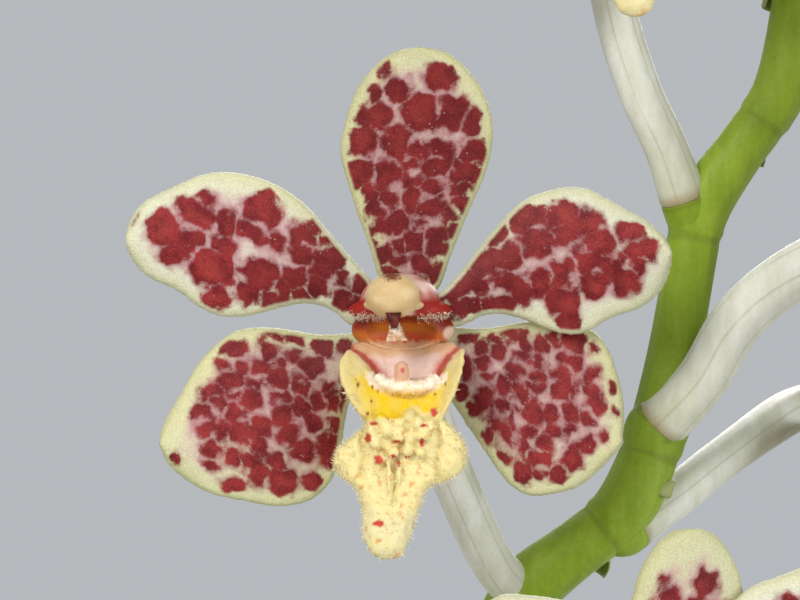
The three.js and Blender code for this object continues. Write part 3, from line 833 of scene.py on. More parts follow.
def flower_place(flower):
    x, z, y = flower["centre"]
    turn = Matrix.Rotation(np.radians(flower["yaw"]), 4, "Z")
    turn = turn @ Matrix.Rotation(np.radians(-flower["pitch"]), 4, "X")
    turn = turn @ Matrix.Rotation(np.radians(-flower["roll"]), 4, "Y")
    return Matrix.Translation(FRONT_FLOWER + (x, y, z)) @ turn @ Matrix.Scale(flower["size"], 4)


def stalk_line(i):
    flower = FLOWERS[i]
    place = flower_place(flower)
    centre = np.array(place.translation)
    ahead = np.array(place.to_3x3() @ Vector((0, -1, 0))) / flower["size"]
    start = on_spike(NODES[i])
    end = centre - ahead * NECK * flower["size"]
    if "stalk" in flower:
        return smooth_path((*flower["stalk"], end), STALK_ROWS)
    reach = np.linalg.norm(end - start)
    away = (end - start) / reach
    side = away - 0.35 * ahead
    side /= np.linalg.norm(side)
    way = (start, start + 0.35 * reach * side, end - 0.36 * reach * ahead, end)
    return smooth_path(way, STALK_ROWS)


def stalk_radius(i):
    return STALK_RADIUS * FLOWERS[i].get("stout", 1.0)


def stalk_piece(i, line):
    """The stalk, thicker where it joins the spike, and above it the six-ribbed ovary."""

    def radius(share, angle):
        ovary = eased(0.45, 0.8, share)
        ribs = 1 + (0.03 + 0.03 * ovary) * np.abs(np.cos(RIBS / 2 * angle))
        foot = 0.1 * (1 - eased(0.0, 0.15, share))
        round_foot = np.sqrt(np.clip((share + 0.02) / 0.03, 0.6, 1))
        return stalk_radius(i) * (1 + foot + 0.06 * ovary) * ribs * round_foot

    return swept(f"flower_stalk_{i + 1:02d}", line, radius, 36)


def corners_of(piece):
    flat = np.empty(3 * len(piece.data.vertices))
    piece.data.vertices.foreach_get("co", flat)
    return flat.reshape(-1, 3)


def socket_piece(i, line):
    """The green knob that branches off the spike, to which a stalk's foot is jointed."""
    ahead = (line[4] - line[0]) / np.linalg.norm(line[4] - line[0])
    height = SOCKET_HEIGHTS["stalk" in FLOWERS[i]]
    row = spike_row(NODES[i])
    inside = (spike_line[row - SOCKET_ROWS], spike_line[row - SOCKET_ROWS // 2])
    way = (*inside, line[0] - 0.6 * ahead, line[0] + height * ahead)
    path = softened(smooth_path(way, 60), 20)

    def radius(share, angle):
        rim = np.sqrt(np.clip((1.0 - share) / 0.05, 0.3, 1))
        return stalk_radius(i) * (0.85 + 0.28 * eased(0, 0.85, share)) * rim

    piece = swept(f"spike_socket_{i + 1:02d}", path, radius, 32)
    along = corners_of(piece) @ ahead - line[0] @ ahead
    return marked(piece, joint=np.abs(height - 0.2 - along))


def blade(name, left, right, thickness, rim, bend, columns, rows, marks=None, ragged=0.0):
    """A fleshy sheet between two edge lines. bend(flat, across, along) pushes it back from them, rim is how
    far its edge is rounded, and marks(flat, margin, front) gives numbers for its material."""
    rng = np.random.default_rng(len(name) + rows)
    left = smooth_path(left, rows + 1)
    right = smooth_path(right, rows + 1)
    rounds = 1 + rows * rows // 500
    pointed = np.allclose(left[-1], right[-1])
    if pointed:
        edge = softened(np.vstack([left, right[-2::-1]]), rounds)
        left, right = edge[:rows + 1], edge[:rows - 1:-1]
    else:
        left, right = softened(left, rounds), softened(right, rounds)
    jitter = rng.normal(0, ragged, (2, rows + 1, 3)) * (1, 0, 1)
    jitter[:, -1] = jitter[0, -1]
    left = left + jitter[0]
    right = right + jitter[1]
    ends = [line[0] + (line[1] - line[0]) * np.linspace(0, 1, 12)[:, None]
            for line in ((left[0], right[0]), (left[-1], right[-1]))]
    outline = np.vstack([smooth_path(left, 3 * rows), smooth_path(right, 3 * rows), *ends])[:, ::2]
    split = 2 / 3
    back_columns = columns // 3

    def place(u, v):
        front = u < split + 1e-6
        share = np.where(front, u / split, (1 - u) / (1 - split))
        row = np.rint(v * rows).astype(int)
        at_end = (row == 0) | (row == rows)
        column = back_columns * share
        column = np.where(share < 0.4999, np.floor(column + 0.01), np.ceil(column - 0.01))
        share = np.where(at_end, column / back_columns, share)
        across = 0.62 * (2 * share - 1) - 0.38 * np.cos(np.pi * share)
        across[(row == rows) & pointed] = 0
        flat = left[row] + (right[row] - left[row]) * (across[:, None] + 1) / 2
        margin = np.empty(len(flat))
        for part in np.array_split(np.arange(len(flat)), 1 + len(flat) // 2000):
            margin[part] = np.linalg.norm(flat[part][:, None, ::2] - outline, axis=2).min(axis=1)
        margin[(np.abs(across) > 0.9999) | at_end] = 0
        half = thickness / 2 * np.sqrt(1 - (1 - np.minimum(margin / rim, 1)) ** 2)
        placed = flat.copy()
        placed[:, 1] += bend(flat, across, v) + np.where(front, -half, half)
        return placed, marks(flat, margin, front) if marks else {}

    return formed(name, columns, rows, place)


def scale_piece(i, line):
    """The small dry scale that sits under a stalk."""
    row = spike_row(NODES[i])
    up = Vector(spike_line[row + 1] - spike_line[row - 1]).normalized()
    out = Vector(line[12] - line[0])
    out = (out - up * out.dot(up)).normalized()
    other_edge = [(-x, y, z) for x, y, z in SCALE_EDGE]

    def bend(flat, across, along):
        return -0.7 * across ** 2 + 0.25 * along ** 2

    piece = blade(f"spike_scale_{i + 1:02d}", SCALE_EDGE, other_edge, 0.3, 0.15, bend, 18, 12)
    turn = Matrix((out.cross(up), out, up)).transposed().to_4x4()
    radius = float(spike_radius(spike_run[row:row + 1])[0])
    piece.matrix_world = Matrix.Translation(Vector(spike_line[row]) - up * SCALE_DROP + out * radius) @ turn
    return piece


def stalk_skin():
    finish = Finish("stalk_skin")
    along = finish.mark("along")
    streak = finish.noise(0.8, 3, finish.stretched((1, 0.4, 0.3)))
    cloud = finish.noise(4, 3)
    white = finish.mix((streak * 1.1 + 0.5).between(0.05, 0.95), (0.6, 0.6, 0.49), (0.75, 0.76, 0.71))
    foot = (along + cloud * 0.2).between(0.26, -0.02)
    white = finish.mix(foot * 0.45, white, (0.44, 0.45, 0.26))
    seam = finish.mark("rib").between(-0.75, -1.0) * (cloud + 0.2).between(-0.1, 0.2)
    white = finish.mix(seam * 0.4, white, (0.36, 0.34, 0.22))
    joint = (along + cloud * 0.02).between(0.045, 0.015)
    white = finish.mix(joint * 0.6, white, (0.3, 0.2, 0.06))
    patch = (finish.noise(5, 3) + streak * 0.4).between(0.06, 0.25)
    speck = finish.cells(1.5).between(0.16, 0.06) * patch
    white = finish.mix(speck * 0.6, white, (0.42, 0.2, 0.07))
    colour = finish.shade(white, finish.noise(0.3, 2) * 0.16 + 1)
    relief = ((streak * 0.12, 0.7), (finish.noise(0.3, 1) * 0.03, 0.5))
    return finish.shell(colour, 0.42, relief, Subsurface_Weight=0.12, Subsurface_Scale=0.0012)


def scale_skin():
    finish = Finish("scale_skin")
    grain = finish.noise(0.8, 3)
    colour = finish.mix((grain * 1.5 + 0.5), (0.2, 0.27, 0.05), (0.38, 0.38, 0.15))
    return finish.shell(colour, 0.6, ((grain * 0.2, 0.6),))


stalk_white = stalk_skin()
scale_green = scale_skin()
for i in range(len(FLOWERS)):
    line = stalk_line(i)
    finished(scale_piece(i, line), "spike", scale_green, "flower_spike")
    finished(socket_piece(i, line), "spike", spike_green, "flower_spike")
    finished(stalk_piece(i, line), "stalk", stalk_white, f"flower_{i + 1:02d}_stalk")


# Sepals and petals: fleshy spatulate blades, cream with a tessellation of dark red blotches on the front
# and a plain greenish-yellow rounded margin. Each outline is given as its left and right edge from base to
# tip, and each blotch as its place (x, z) and half its width and height.
TEPAL_THICKNESS = 0.8
TEPAL_RIM = 0.42
TEPAL_REACH = 18.0
TEPAL_CUP = 1.5
SEPAL_LAYER = 1.4
PETAL_LAYER = 0.3
EDGE_RAGGEDNESS = 0.018
FRONT_GRID = (132, 140)
NEAR_GRID = (66, 70)
FAR_GRID = (36, 44)
NEAR = 2
TEPALS = {
    "dorsal_sepal": {
        "left": (
            (-0.9, 0.4), (-1.75, 2.8), (-2.25, 4.45), (-2.6, 5.65), (-3.2, 7.05), (-3.55, 8.3),
            (-4.1, 10.05), (-4.45, 11.8), (-3.9, 13.9), (-3.55, 15.3), (-2.6, 16.75), (-1.05, 18.25),
            (0.7, 18.75), (1.2, 18.6),
        ),
        "right": (
            (1.1, 0.4), (2.8, 2.15), (3.0, 3.15), (3.55, 4.6), (4.2, 6.2), (4.9, 7.9), (5.65, 9.5),
            (6.2, 11.35), (6.35, 13.4), (5.6, 15.7), (4.6, 17.1), (3.2, 18.35), (1.9, 18.65),
            (1.2, 18.6),
        ),
        "hollow": 0.75, "wave": (0.16, 5.0, 0.6), "lean": 0,
        # The last value here is painted shade over the whole dorsal sepal, which stands less lit than the
        # other tepals.
        "growth": 0.16, "gap": 0.02, "warm": 1, "painted_shade": 0.6,
        "blotches": (
            (-1.2, 17.3, .33, .52), (-1.95, 15.5, .33, .52), (-.4, 15.7, .75, .7),
            (2.6, 16.6, .95, .85), (-1.95, 13.9, 1.2, .8), (1.4, 14.1, 1.4, 1.15),
            (3.4, 14.1, 1.25, 1.05), (4.8, 13.6, .7, .95), (-2.8, 12.1, 1, .9), (-.4, 12, .95, 1.1),
            (.8, 11.6, .45, .55), (2.4, 11.5, 1, .7), (5, 11.3, .9, .85), (.6, 10.3, .55, .5),
            (2.5, 10.3, 1.05, .85), (4.2, 10, 1.2, .9), (-2.9, 9.9, 1, .9), (-1.25, 9.75, 1, 1),
            (.7, 9.4, .95, .5), (2.1, 9.1, .9, .55), (4.1, 8.9, 1.05, .5), (-2.2, 8.6, .5, .6),
            (-.7, 8.1, .95, .65), (.5, 8.1, .85, .7), (1.9, 7.4, 1.3, .75), (4.4, 7.7, .8, .7),
            (3.05, 7.1, .9, .5), (-1.8, 7.3, .7, .6), (-1.7, 6, .75, .7), (-.4, 6.5, .65, .65),
            (1.4, 6.5, .7, .4), (2.5, 5.7, .8, .7), (3.5, 5.8, .5, .5), (.8, 5.2, .65, .7),
            (-.1, 4.9, .45, .4), (2.35, 4.6, .8, .7), (-1.4, 4.2, .65, .8), (-2.8, 6.5, .3, .45),
            (-2, 5, .3, .45), (-.2, 3.6, .95, .45), (1.4, 3.5, 1.05, .6), (2.35, 3.1, .6, .8),
            (-.8, 2.9, .8, .45), (.95, 2.7, .7, .4),
        ),
    },
    "left_petal": {
        "left": (
            (-1.4, -.9), (-3.6, -.9), (-4.6, .2), (-6.5, .85), (-8.5, .55), (-10.45, 0), (-12.7, -.15),
            (-14.45, .7), (-16.05, 1.95), (-17.8, 2.6), (-19.05, 4.1), (-19.3, 5.2),
        ),
        "right": (
            (-1.2, 1), (-2.23, 2.44), (-4.9, 5.45), (-6.35, 7.3), (-8.7, 9.05), (-11.7, 9.95),
            (-13.8, 9.85), (-16.2, 8.8), (-18.4, 7.65), (-19.3, 5.85), (-19.3, 5.2),
        ),
        "hollow": 0.8, "wave": (0.3, 6.0, 1.0), "lean": 0,
        "growth": 0.2, "gap": -0.02, "warm": 0, "painted_shade": 0,
        "blotches": (
            (-16.3, 6, 1.35, 1.2), (-14.5, 7, 1.3, 1.1), (-15, 5.5, 1.1, 1), (-15.9, 4.3, .85, .7),
            (-13.8, 7.8, .7, .55), (-12.3, 6.2, .5, .95), (-12.5, 4.8, .7, .8),
            (-13.2, 3.3, 1.45, 1.2), (-13, 1.2, .85, .75), (-9.8, 7.1, 1.2, 1.15),
            (-10.5, 6.1, .8, .7), (-9.5, 8.1, .6, .55), (-9.8, 5.3, .4, .4), (-8.7, 5, .35, .5),
            (-7, 5.5, .8, .75), (-6.2, 6.1, .5, .45), (-7, 4.2, .75, .6), (-5.05, 4, 1.05, .95),
            (-5.7, 3.1, .6, .5), (-4, 2.5, .45, .45), (-3.1, 2.1, .55, .6), (-10, 2.8, 1.2, .95),
            (-10.8, 1.8, .75, .95), (-7.4, 2.6, .75, .6), (-8.35, 1.8, .55, .7), (-9.1, 1, .6, .55),
            (-5.9, 2, .75, .65), (-6.9, 1.35, .75, .45), (-4.2, 1, .65, .55), (-18.8, 6.6, .3, .2),
            (-5.5, 5, .45, .45), (-2.6, .6, .9, .8),
        ),
    },
    "right_petal": {
        "left": (
            (1.2, 1), (2.6, 1.45), (5.7, 5.15), (8.35, 8), (10.2, 8.7), (12.6, 8.95), (15.05, 7.6),
            (16.95, 6.6), (18.4, 5.25), (18.85, 4.3),
        ),
        "right": (
            (1.2, -.6), (4, -.9), (5.2, -.1), (6.75, .15), (8.2, -.2), (9.85, -.9), (11.7, -1.45),
            (13.3, -1), (14.35, -.2), (16.65, .5), (18.35, 2.2), (18.85, 4.3),
        ),
        "hollow": 0.8, "wave": (0.3, 6.0, 2.2), "lean": 0,
        "growth": 0.24, "gap": -0.03, "warm": 0, "painted_shade": 0,
        "blotches": (
            (8.8, 6.6, 1.1, .95), (9.3, 5.5, 1.05, .9), (9.3, 4.6, .85, .5), (6.4, 5.6, .6, .8),
            (7.1, 4.1, 1.05, .8), (5.6, 3.5, .7, .9), (5.5, 2.1, .6, .65), (4.2, 2.25, .7, .9),
            (3.15, 1.3, .6, .5), (4.65, .6, .95, .5), (3.5, .3, .55, .6), (7, 2.1, .7, .75),
            (6.85, .9, 1.05, .65), (8.2, 1.6, .6, 1.05), (9.5, 2.25, .8, .8), (11, 2.6, .7, 1),
            (11.1, 1.1, .95, 1.05), (11.5, -.4, .7, .7), (11.2, 6.9, .9, .95), (11.2, 5.7, .9, .75),
            (12.9, 6.2, .75, 1), (13.4, 4.9, 1.1, .95), (13.4, 3.6, 1.1, 1.05),
            (13.4, 2.25, 1.05, .85), (15.3, 3.6, .6, .6), (15.4, 2.5, .9, 1), (15.9, 5.6, .85, .7),
            (16.45, 4.6, 1, .85), (16.2, 3.6, .6, .45), (12.2, 4.6, .45, .6),
        ),
    },
    "left_lateral_sepal": {
        "left": (
            (-1, -2), (-3.4, -5.2), (-4.2, -8.2), (-4.5, -10.9), (-5, -11.6), (-6.2, -12.95),
            (-8.65, -13.45), (-11.35, -12.95), (-13.5, -12.55), (-15.25, -11.5), (-16.6, -10.4),
            (-17.1, -8.85),
        ),
        "right": (
            (-1, -1), (-3.7, -1.3), (-5.9, -1.4), (-7.9, -1.05), (-9.85, -.85), (-11.65, -1.05),
            (-12.95, -1.9), (-14.45, -3.5), (-15.25, -5), (-16.2, -6.6), (-16.9, -7.95),
            (-17.1, -8.85),
        ),
        "hollow": 0.85, "wave": (0.2, 5.0, 0.3), "lean": 0,
        "growth": 0.13, "gap": 0.03, "warm": 1, "painted_shade": 0,
        "blotches": (
            (-11.8, -2.5, .8, .7), (-12.45, -3.5, .65, .6), (-11.4, -3.6, .6, .6),
            (-12.1, -4.6, .85, .75), (-11.8, -5.5, .45, .35), (-9.2, -1.6, .85, .5),
            (-9.3, -2.5, .6, .75), (-8.7, -3.3, .4, .5), (-9.8, -3.8, .7, .55), (-8.8, -4.4, .75, .75),
            (-7.6, -1.9, .65, .6), (-7.5, -2.7, .65, .6), (-6.5, -3.5, .85, .75),
            (-5.7, -2.3, .65, .6), (-4.1, -2.1, .45, .6), (-13.4, -5.4, .8, .6), (-13, -6.3, .6, .6),
            (-13.8, -6.8, .8, .7), (-13.7, -7.7, .7, .65), (-10.4, -4.9, .5, .6),
            (-10.6, -5.9, .65, .75), (-11.8, -6.9, .65, .55), (-12.55, -8.1, .5, .75),
            (-11.6, -8.3, .8, 1), (-11.9, -9.7, .5, .75), (-13.1, -9.5, .8, .7),
            (-13.3, -10.3, .45, .45), (-10, -7.9, .75, .75), (-8.6, -5.7, .55, .7),
            (-8.35, -7.1, .75, .8), (-7.95, -8.3, .85, .8), (-7.1, -9.4, .85, .85),
            (-7.3, -4.35, .5, .45), (-7, -5.1, .55, .5), (-7.1, -6.5, .65, .6), (-6.2, -7.6, .55, .7),
            (-6, -5.9, .4, .9), (-5.3, -5.1, .7, .4), (-4.8, -6.3, .5, .8), (-4.5, -7.6, .6, .75),
            # The tall blotch at (-3.9, -6), beside the lip's edge, is a dark shadowy patch: partly blotch
            # red, partly painted shadow of the lip.
            (-3.9, -6, .5, 1.3), (-5.3, -9.4, .65, 1.2), (-10, -9.3, .55, .8), (-10.5, -10.3, .7, .65),
            (-10.1, -11.3, .6, .75), (-8.8, -10.2, .7, .55), (-8.4, -11.7, .95, .9),
            (-6.4, -11.6, .6, .6), (-11.8, -11.9, .75, .4), (-15.8, -10.1, .2, .25),
        ),
    },
    "right_lateral_sepal": {
        "left": (
            (1, -1), (4.2, -.85), (4.6, -.98), (6.35, -.9), (8.3, -.5), (11, -.4), (13.25, -1),
            (14.15, -1.8), (15.05, -4.1), (15.5, -6.2), (15.4, -8.95),
        ),
        "right": (
            (1, -2), (3.3, -5.85), (4.55, -7.8), (6, -9.9), (7.2, -11.6), (8.7, -12.7), (10.6, -12.5),
            (12.15, -12.15), (13.6, -11), (15.05, -9.55), (15.4, -8.95),
        ),
        "hollow": 0.85, "wave": (0.2, 5.0, 1.7), "lean": 15,
        "growth": 0.14, "gap": 0.02, "warm": 1, "painted_shade": 0,
        "blotches": (
            (4.7, -1.6, .6, .35), (5.5, -2.3, .55, .4), (6.3, -1.7, .5, .55), (5.5, -3.3, .5, .5),
            (6.6, -2.5, .55, .55), (7.6, -1.4, .5, .65), (8.45, -1.8, .45, .8), (8.3, -2.9, .45, .65),
            (7.9, -3.8, .65, .55), (9.6, -2.1, .45, .75), (9.5, -3.3, .45, .7), (9.4, -4.3, .45, .6),
            (9.2, -5, .6, .5), (8.2, -5.3, .45, .75), (7, -5, .6, .65), (5.9, -4.45, .55, .4),
            (5.8, -5.3, .45, .5), (5.5, -6.4, .8, .75), (6.1, -6.6, .4, .65), (4.4, -3.8, .35, .8),
            (4, -5.3, .5, .55), (7.1, -6.3, .45, .4), (6.5, -7.6, .4, .55), (6.05, -8.55, .4, .55),
            (7.65, -7.2, .3, .75), (7.2, -8.55, .5, 1), (7.1, -9.8, .45, .7), (9, -6.9, 1, .8),
            (8.6, -7.9, .55, .6), (10.2, -6.9, .5, .65), (10.6, -1.7, .35, .5), (12, -2.05, .75, .8),
            (11.7, -3.2, .85, .7), (11.2, -4.1, .8, .6), (11.1, -5.1, .6, .65), (13.2, -4.3, .65, .5),
            (12.9, -5.2, .7, .55), (13.3, -6.2, .7, .65), (12.2, -5.3, .4, .5), (11.7, -6.7, .5, .6),
            (12.9, -7.2, .35, .5), (10.6, -8.1, .75, .4), (11.6, -8.2, .45, .55),
            (12.5, -9.1, .8, .65), (11.8, -10.2, .7, .7), (9.8, -9.1, .55, .55), (9.6, -10, .7, .7),
            (8.4, -9.6, .4, .8), (8.4, -11, .5, .9), (10.9, -11.1, .7, .6), (9.5, -10.9, .35, .55),
            (14.7, -5, .25, .3), (14.8, -6.8, .15, .27), (14.05, -8.4, .22, .3),
            (13.4, -2.3, .27, .27),
        ),
    },
}


def cloud(points, size, seed, waves=22):
    """Soft noise at points, mostly between -1 and 1."""
    rng = np.random.default_rng(seed)
    ways = rng.normal(0, 1, (waves, points.shape[1]))
    ways *= 2 * np.pi / size * rng.uniform(0.6, 1.6, (waves, 1)) / np.linalg.norm(ways, axis=1)[:, None]
    return np.sin(points @ ways.T + rng.uniform(0, 6.3, waves)).sum(axis=1) / np.sqrt(waves)


def blotch_field(flat, shape, spots, seed):
    """How far inside a blotch each (x, z) point is. Here and there pale lines part the ones that meet."""
    warp = [0.3 * cloud(flat, 1.5, seed + k) + 0.1 * cloud(flat, 0.5, seed + 2 + k) for k in (0, 1)]
    away = (flat + np.stack(warp, axis=1) * 0.5)[:, None] - spots[None, :, :2]
    turn = np.radians(shape["lean"])
    long = away[..., 0] * np.cos(turn) + away[..., 1] * np.sin(turn)
    high = away[..., 1] * np.cos(turn) - away[..., 0] * np.sin(turn)
    wide = spots[:, 2] + shape["growth"]
    tall = spots[:, 3] + shape["growth"]
    far = (np.abs(long / wide) ** 2.4 + np.abs(high / tall) ** 2.4) ** (1 / 2.4)
    inside = np.sort((1 - far) * np.minimum(wide, tall), axis=1)
    gap = shape["gap"] + 0.13 * cloud(flat, 2.2, seed + 9)
    return np.minimum(inside[:, -1], (inside[:, -1] - inside[:, -2]) / 2 - gap)


def tepal_piece(name, kind, grid, flower, seed=0):
    shape = TEPALS[kind]
    left_lift, right_lift = flower["lift"]
    turn = np.radians({"left_petal": left_lift, "right_petal": -right_lift}.get(kind, 0))
    slim = flower.get("slim", 1.0)
    layer = PETAL_LAYER if kind.endswith("petal") else SEPAL_LAYER
    rng = np.random.default_rng(seed)
    spots = np.array(shape["blotches"]) * flower.get("pattern", 1.0)
    if seed:
        spots[:, :2] += rng.normal(0, 0.22, (len(spots), 2))
        spots[:, 2:] *= rng.uniform(0.88, 1.12, (len(spots), 2))
    size, count, phase = shape["wave"]
    tip = np.array(shape["left"][-1])
    middle = tip / np.linalg.norm(tip)
    lines = []
    for side in ("left", "right"):
        edge = np.array(shape[side])
        run = edge @ middle
        edge = edge * slim + (1 - slim) * run[:, None] * middle
        lines.append([(x, 0, z) for x, z in edge])

    def bend(flat, across, along):
        free = eased(0.0, 0.35, along)
        reach = np.hypot(flat[:, 0], flat[:, 2]) / TEPAL_REACH
        ripple = size * np.sin(count * along + phase + seed) * across * np.abs(across)
        return layer - TEPAL_CUP * reach ** 2 + (shape["hollow"] * across ** 2 + ripple) * free

    def marks(flat, margin, front):
        field = blotch_field(flat[:, ::2], shape, spots, 31 + seed)
        # Painted shade: each tepal darkens towards the flower's middle, and all over by its own value.
        painted_shade = np.maximum(shape["painted_shade"], eased(14, 4, np.hypot(flat[:, 0], flat[:, 2])))
        warm = np.full(len(flat), shape["warm"])
        return {"blotch": field, "margin": margin, "front": front * 1.0, "painted_shade": painted_shade, "warm": warm}

    piece = blade(name, *lines, TEPAL_THICKNESS, TEPAL_RIM, bend, *grid, marks, EDGE_RAGGEDNESS)
    piece.data.transform(Matrix.Rotation(turn, 4, "Y"))
    return piece


def tepal_skin():
    finish = Finish("tepal_skin")
    blotch = finish.mark("blotch")
    margin = finish.mark("margin")
    front = finish.mark("front").between(0.1, 0.9)
    ragged = finish.noise(0.55, 2)
    grain = finish.noise(0.13, 1)
    region = finish.noise(7, 2)
    mottle = finish.noise(1.3, 2)
    painted_shade = finish.mark("painted_shade")
    cream = finish.mix(finish.mark("warm"), (0.6, 0.6, 0.47), (0.55, 0.54, 0.34))
    cream = finish.mix((region * 2 + 0.5).between(0, 1) * 0.4, cream, (0.56, 0.49, 0.25))
    cream = finish.mix(margin.between(1.2, 0.1) * 0.4, cream, (0.5, 0.49, 0.23))
    haze = (blotch + mottle * 0.8).between(-1.2, 0.0) * (region + 0.15).between(-0.1, 0.14)
    haze = haze * margin.between(0.9, 1.9) * front
    cream = finish.mix(haze * 0.8, cream, (0.47, 0.27, 0.29))
    blush = (blotch + ragged * 0.4).between(-0.42, -0.08) * margin.between(0.4, 1.3) * front
    cream = finish.mix(blush * 0.5, cream, (0.3, 0.1, 0.12))
    tone = (mottle * 1.8 + grain + 0.5).between(0.1, 0.9)
    red = finish.mix(tone, (0.13, 0.009, 0.012), (0.25, 0.024, 0.024))
    red = finish.mix((blotch + mottle * 0.5).between(0.3, 0.9) * 0.35, red, (0.31, 0.045, 0.03))
    # Painted shade darkens the blotch red towards the flower's middle and on the dorsal sepal.
    red = finish.mix(painted_shade * 0.55, red, (0.11, 0.006, 0.006))
    edge = (blotch + ragged * 0.34 + grain * 0.3).between(-0.16, 0.15)
    inked = edge * margin.between(0.15, 0.45) * (front * 0.75 + 0.25)
    colour = finish.mix(inked, cream, red)
    # Painted highlights: sparse pale dots stand for glints of light on the papillae.
    painted_sparkle = finish.cells(0.5).between(0.17, 0.05) * finish.noise(1.1, 1).between(0.02, 0.2)
    colour = finish.mix(painted_sparkle * 0.28, colour, (0.85, 0.75, 0.68))
    # Grain and mottle are the tepal's own tone; the last term is painted shade.
    colour = finish.shade(colour, grain * 0.5 + mottle * 0.15 + 1 - painted_shade * 0.12)
    relief = ((finish.cells(0.17) * -0.05, 0.55), (mottle * 0.12, 0.5))
    return finish.shell(colour, 0.5, relief, Specular_IOR_Level=0.15)


tepal_paint = tepal_skin()
for kind in TEPALS:
    piece = tepal_piece(f"front_{kind}", kind, FRONT_GRID, FLOWERS[FRONT])
    piece.matrix_world = flower_place(FLOWERS[FRONT])
    finished(piece, "tepal", tepal_paint, f"flower_{FRONT + 1:02d}_{kind}")
for i, flower in enumerate(FLOWERS):
    if i == FRONT:
        continue
    grid = NEAR_GRID if i == NEAR else FAR_GRID
    pieces = [tepal_piece(kind, kind, grid, flower, 100 * i + k + 7) for k, kind in enumerate(TEPALS)]
    tepals = joined(pieces, f"flower_{i + 1:02d}_tepals")
    tepals.matrix_world = flower_place(flower)
    finished(tepals, "tepal", tepal_paint, f"flower_{i + 1:02d}_blossom")


# Column and anther cap: the column is a short red-shouldered hood over an amber hollow, and the cream cap
# sits on its front with a dark beak and a clear ragged flap. Both are made of balls melted into one skin,
# and painted by where on the flower a point is.
CAP_CENTRE = (-0.7, -3.7, 1.32)
CAP_RADII = (1.88, 1.6, 1.58)
CAP_RIM_CENTRE = (-0.6, -3.3, 0.72)
CAP_RIM_RADII = (2.12, 1.3, 0.62)
CAP_VOXEL = 0.1
COLUMN_BALLS = (
    ((-0.1, 0.9, 0), (2.7, 2.0, 2.5)), ((-0.2, -1.5, 1.0), (2.75, 2.7, 1.9)),
    ((-0.2, -1.3, 0.35), (3.6, 2.3, 1.0)), ((0, -0.2, -1.0), (3.6, 1.7, 1.7)),
)
COLUMN_HOLLOW = ((-0.15, -3.3, -1.42), (3.35, 2.9, 1.4))
COLUMN_VOXEL = 0.12
BEAK = (
    ((-1.2, -4.75, 0.2), (-1.0, -4.85, -0.4), (-0.8, -4.7, -0.9)),
    ((-0.1, -4.75, 0.2), (-0.22, -4.85, -0.4), (-0.42, -4.7, -0.9)),
)
FLAP = (
    ((-0.95, -4.2, -0.4), (-1.0, -4.35, -0.95), (-1.25, -4.5, -1.85)),
    ((-0.25, -4.2, -0.4), (0.0, -4.35, -0.95), (0.35, -4.45, -1.75)),
)


def ball(centre, radii):
    bpy.ops.mesh.primitive_ico_sphere_add(subdivisions=5, radius=1)
    piece = bpy.context.object
    piece.data.transform(Matrix.Translation(centre) @ Matrix.Diagonal((*radii, 1)))
    return piece


def melted(pieces, name, voxel, rounds):
    """Overlapping closed pieces as one smooth skin."""
    piece = joined(pieces, name)
    modified(piece, "REMESH", mode="VOXEL", voxel_size=voxel)
    modified(piece, "SMOOTH", factor=0.5, iterations=rounds)
    bpy.ops.object.shade_smooth()
    return piece


def blended(first, second, share):
    """Colours between first and second, for each point's share."""
    first = np.asarray(first, float)
    return first + (np.asarray(second) - first) * np.clip(share, 0, 1)[:, None]


def tinted(piece, colours):
    layer = piece.data.attributes.new("tint", "FLOAT_COLOR", "POINT")
    colours = np.column_stack([colours, np.ones(len(colours))])
    layer.data.foreach_set("color", colours.astype(np.float32).ravel())
    return piece


def spot(points, x, z, wide, tall):
    """How far inside an upright oval spot each point is: 1 in the middle, 0 at its edge."""
    return 1 - np.hypot((points[:, 0] - x) / wide, (points[:, 2] - z) / tall)


def column_colours(points):
    x, y, z = points.T
    fine = cloud(points, 0.5, 3)
    colours = blended((0.46, 0.17, 0.14), (0.66, 0.44, 0.38), 0.5 + 0.7 * cloud(points, 1.1, 4))
    shoulder = eased(0.6, 1.1, np.abs(x + 0.1)) * eased(1.5, 0.9, z) * eased(-0.45, -0.05, z)
    colours = blended(colours, (0.3, 0.014, 0.008), shoulder)
    back = eased(0.6, 1.4, y)
    colours = blended(colours, (0.62, 0.58, 0.42), back)
    hollow = eased(0.12, -0.12, z + 0.05 * fine) * (1 - back)
    corner = eased(1.2, 2.8, np.abs(x + 0.1)) * eased(-1.6, -0.7, z)
    ochre = blended((0.5, 0.15, 0.016), (0.22, 0.014, 0.003), corner)
    ochre = blended(ochre, (0.2, 0.02, 0.003), eased(-0.75, -0.25, z + 0.06 * fine))
    ochre = blended(ochre, (0.48, 0.06, 0.014), eased(-1.0, -1.5, z) * eased(3.4, 1.0, np.abs(x - 0.2)))
    ochre = blended(ochre, (0.6, 0.36, 0.2), eased(-1.6, -2.1, z + 0.1 * fine))
    ochre = blended(ochre, (0.72, 0.5, 0.36), spot(points, 3.3, -1.3, 0.6, 0.6) * 3)
    return blended(colours, ochre, hollow)


def column_piece():
    solid = melted([ball(*place) for place in COLUMN_BALLS], "column", COLUMN_VOXEL, 2)
    hollow = ball(*COLUMN_HOLLOW)
    modified(solid, "BOOLEAN", object=hollow, operation="DIFFERENCE", solver="EXACT")
    bpy.data.objects.remove(hollow)
    solid = melted([solid], "column", COLUMN_VOXEL, 3)
    return tinted(solid, column_colours(corners_of(solid)))


def unbent(flat, across, along):
    return 0


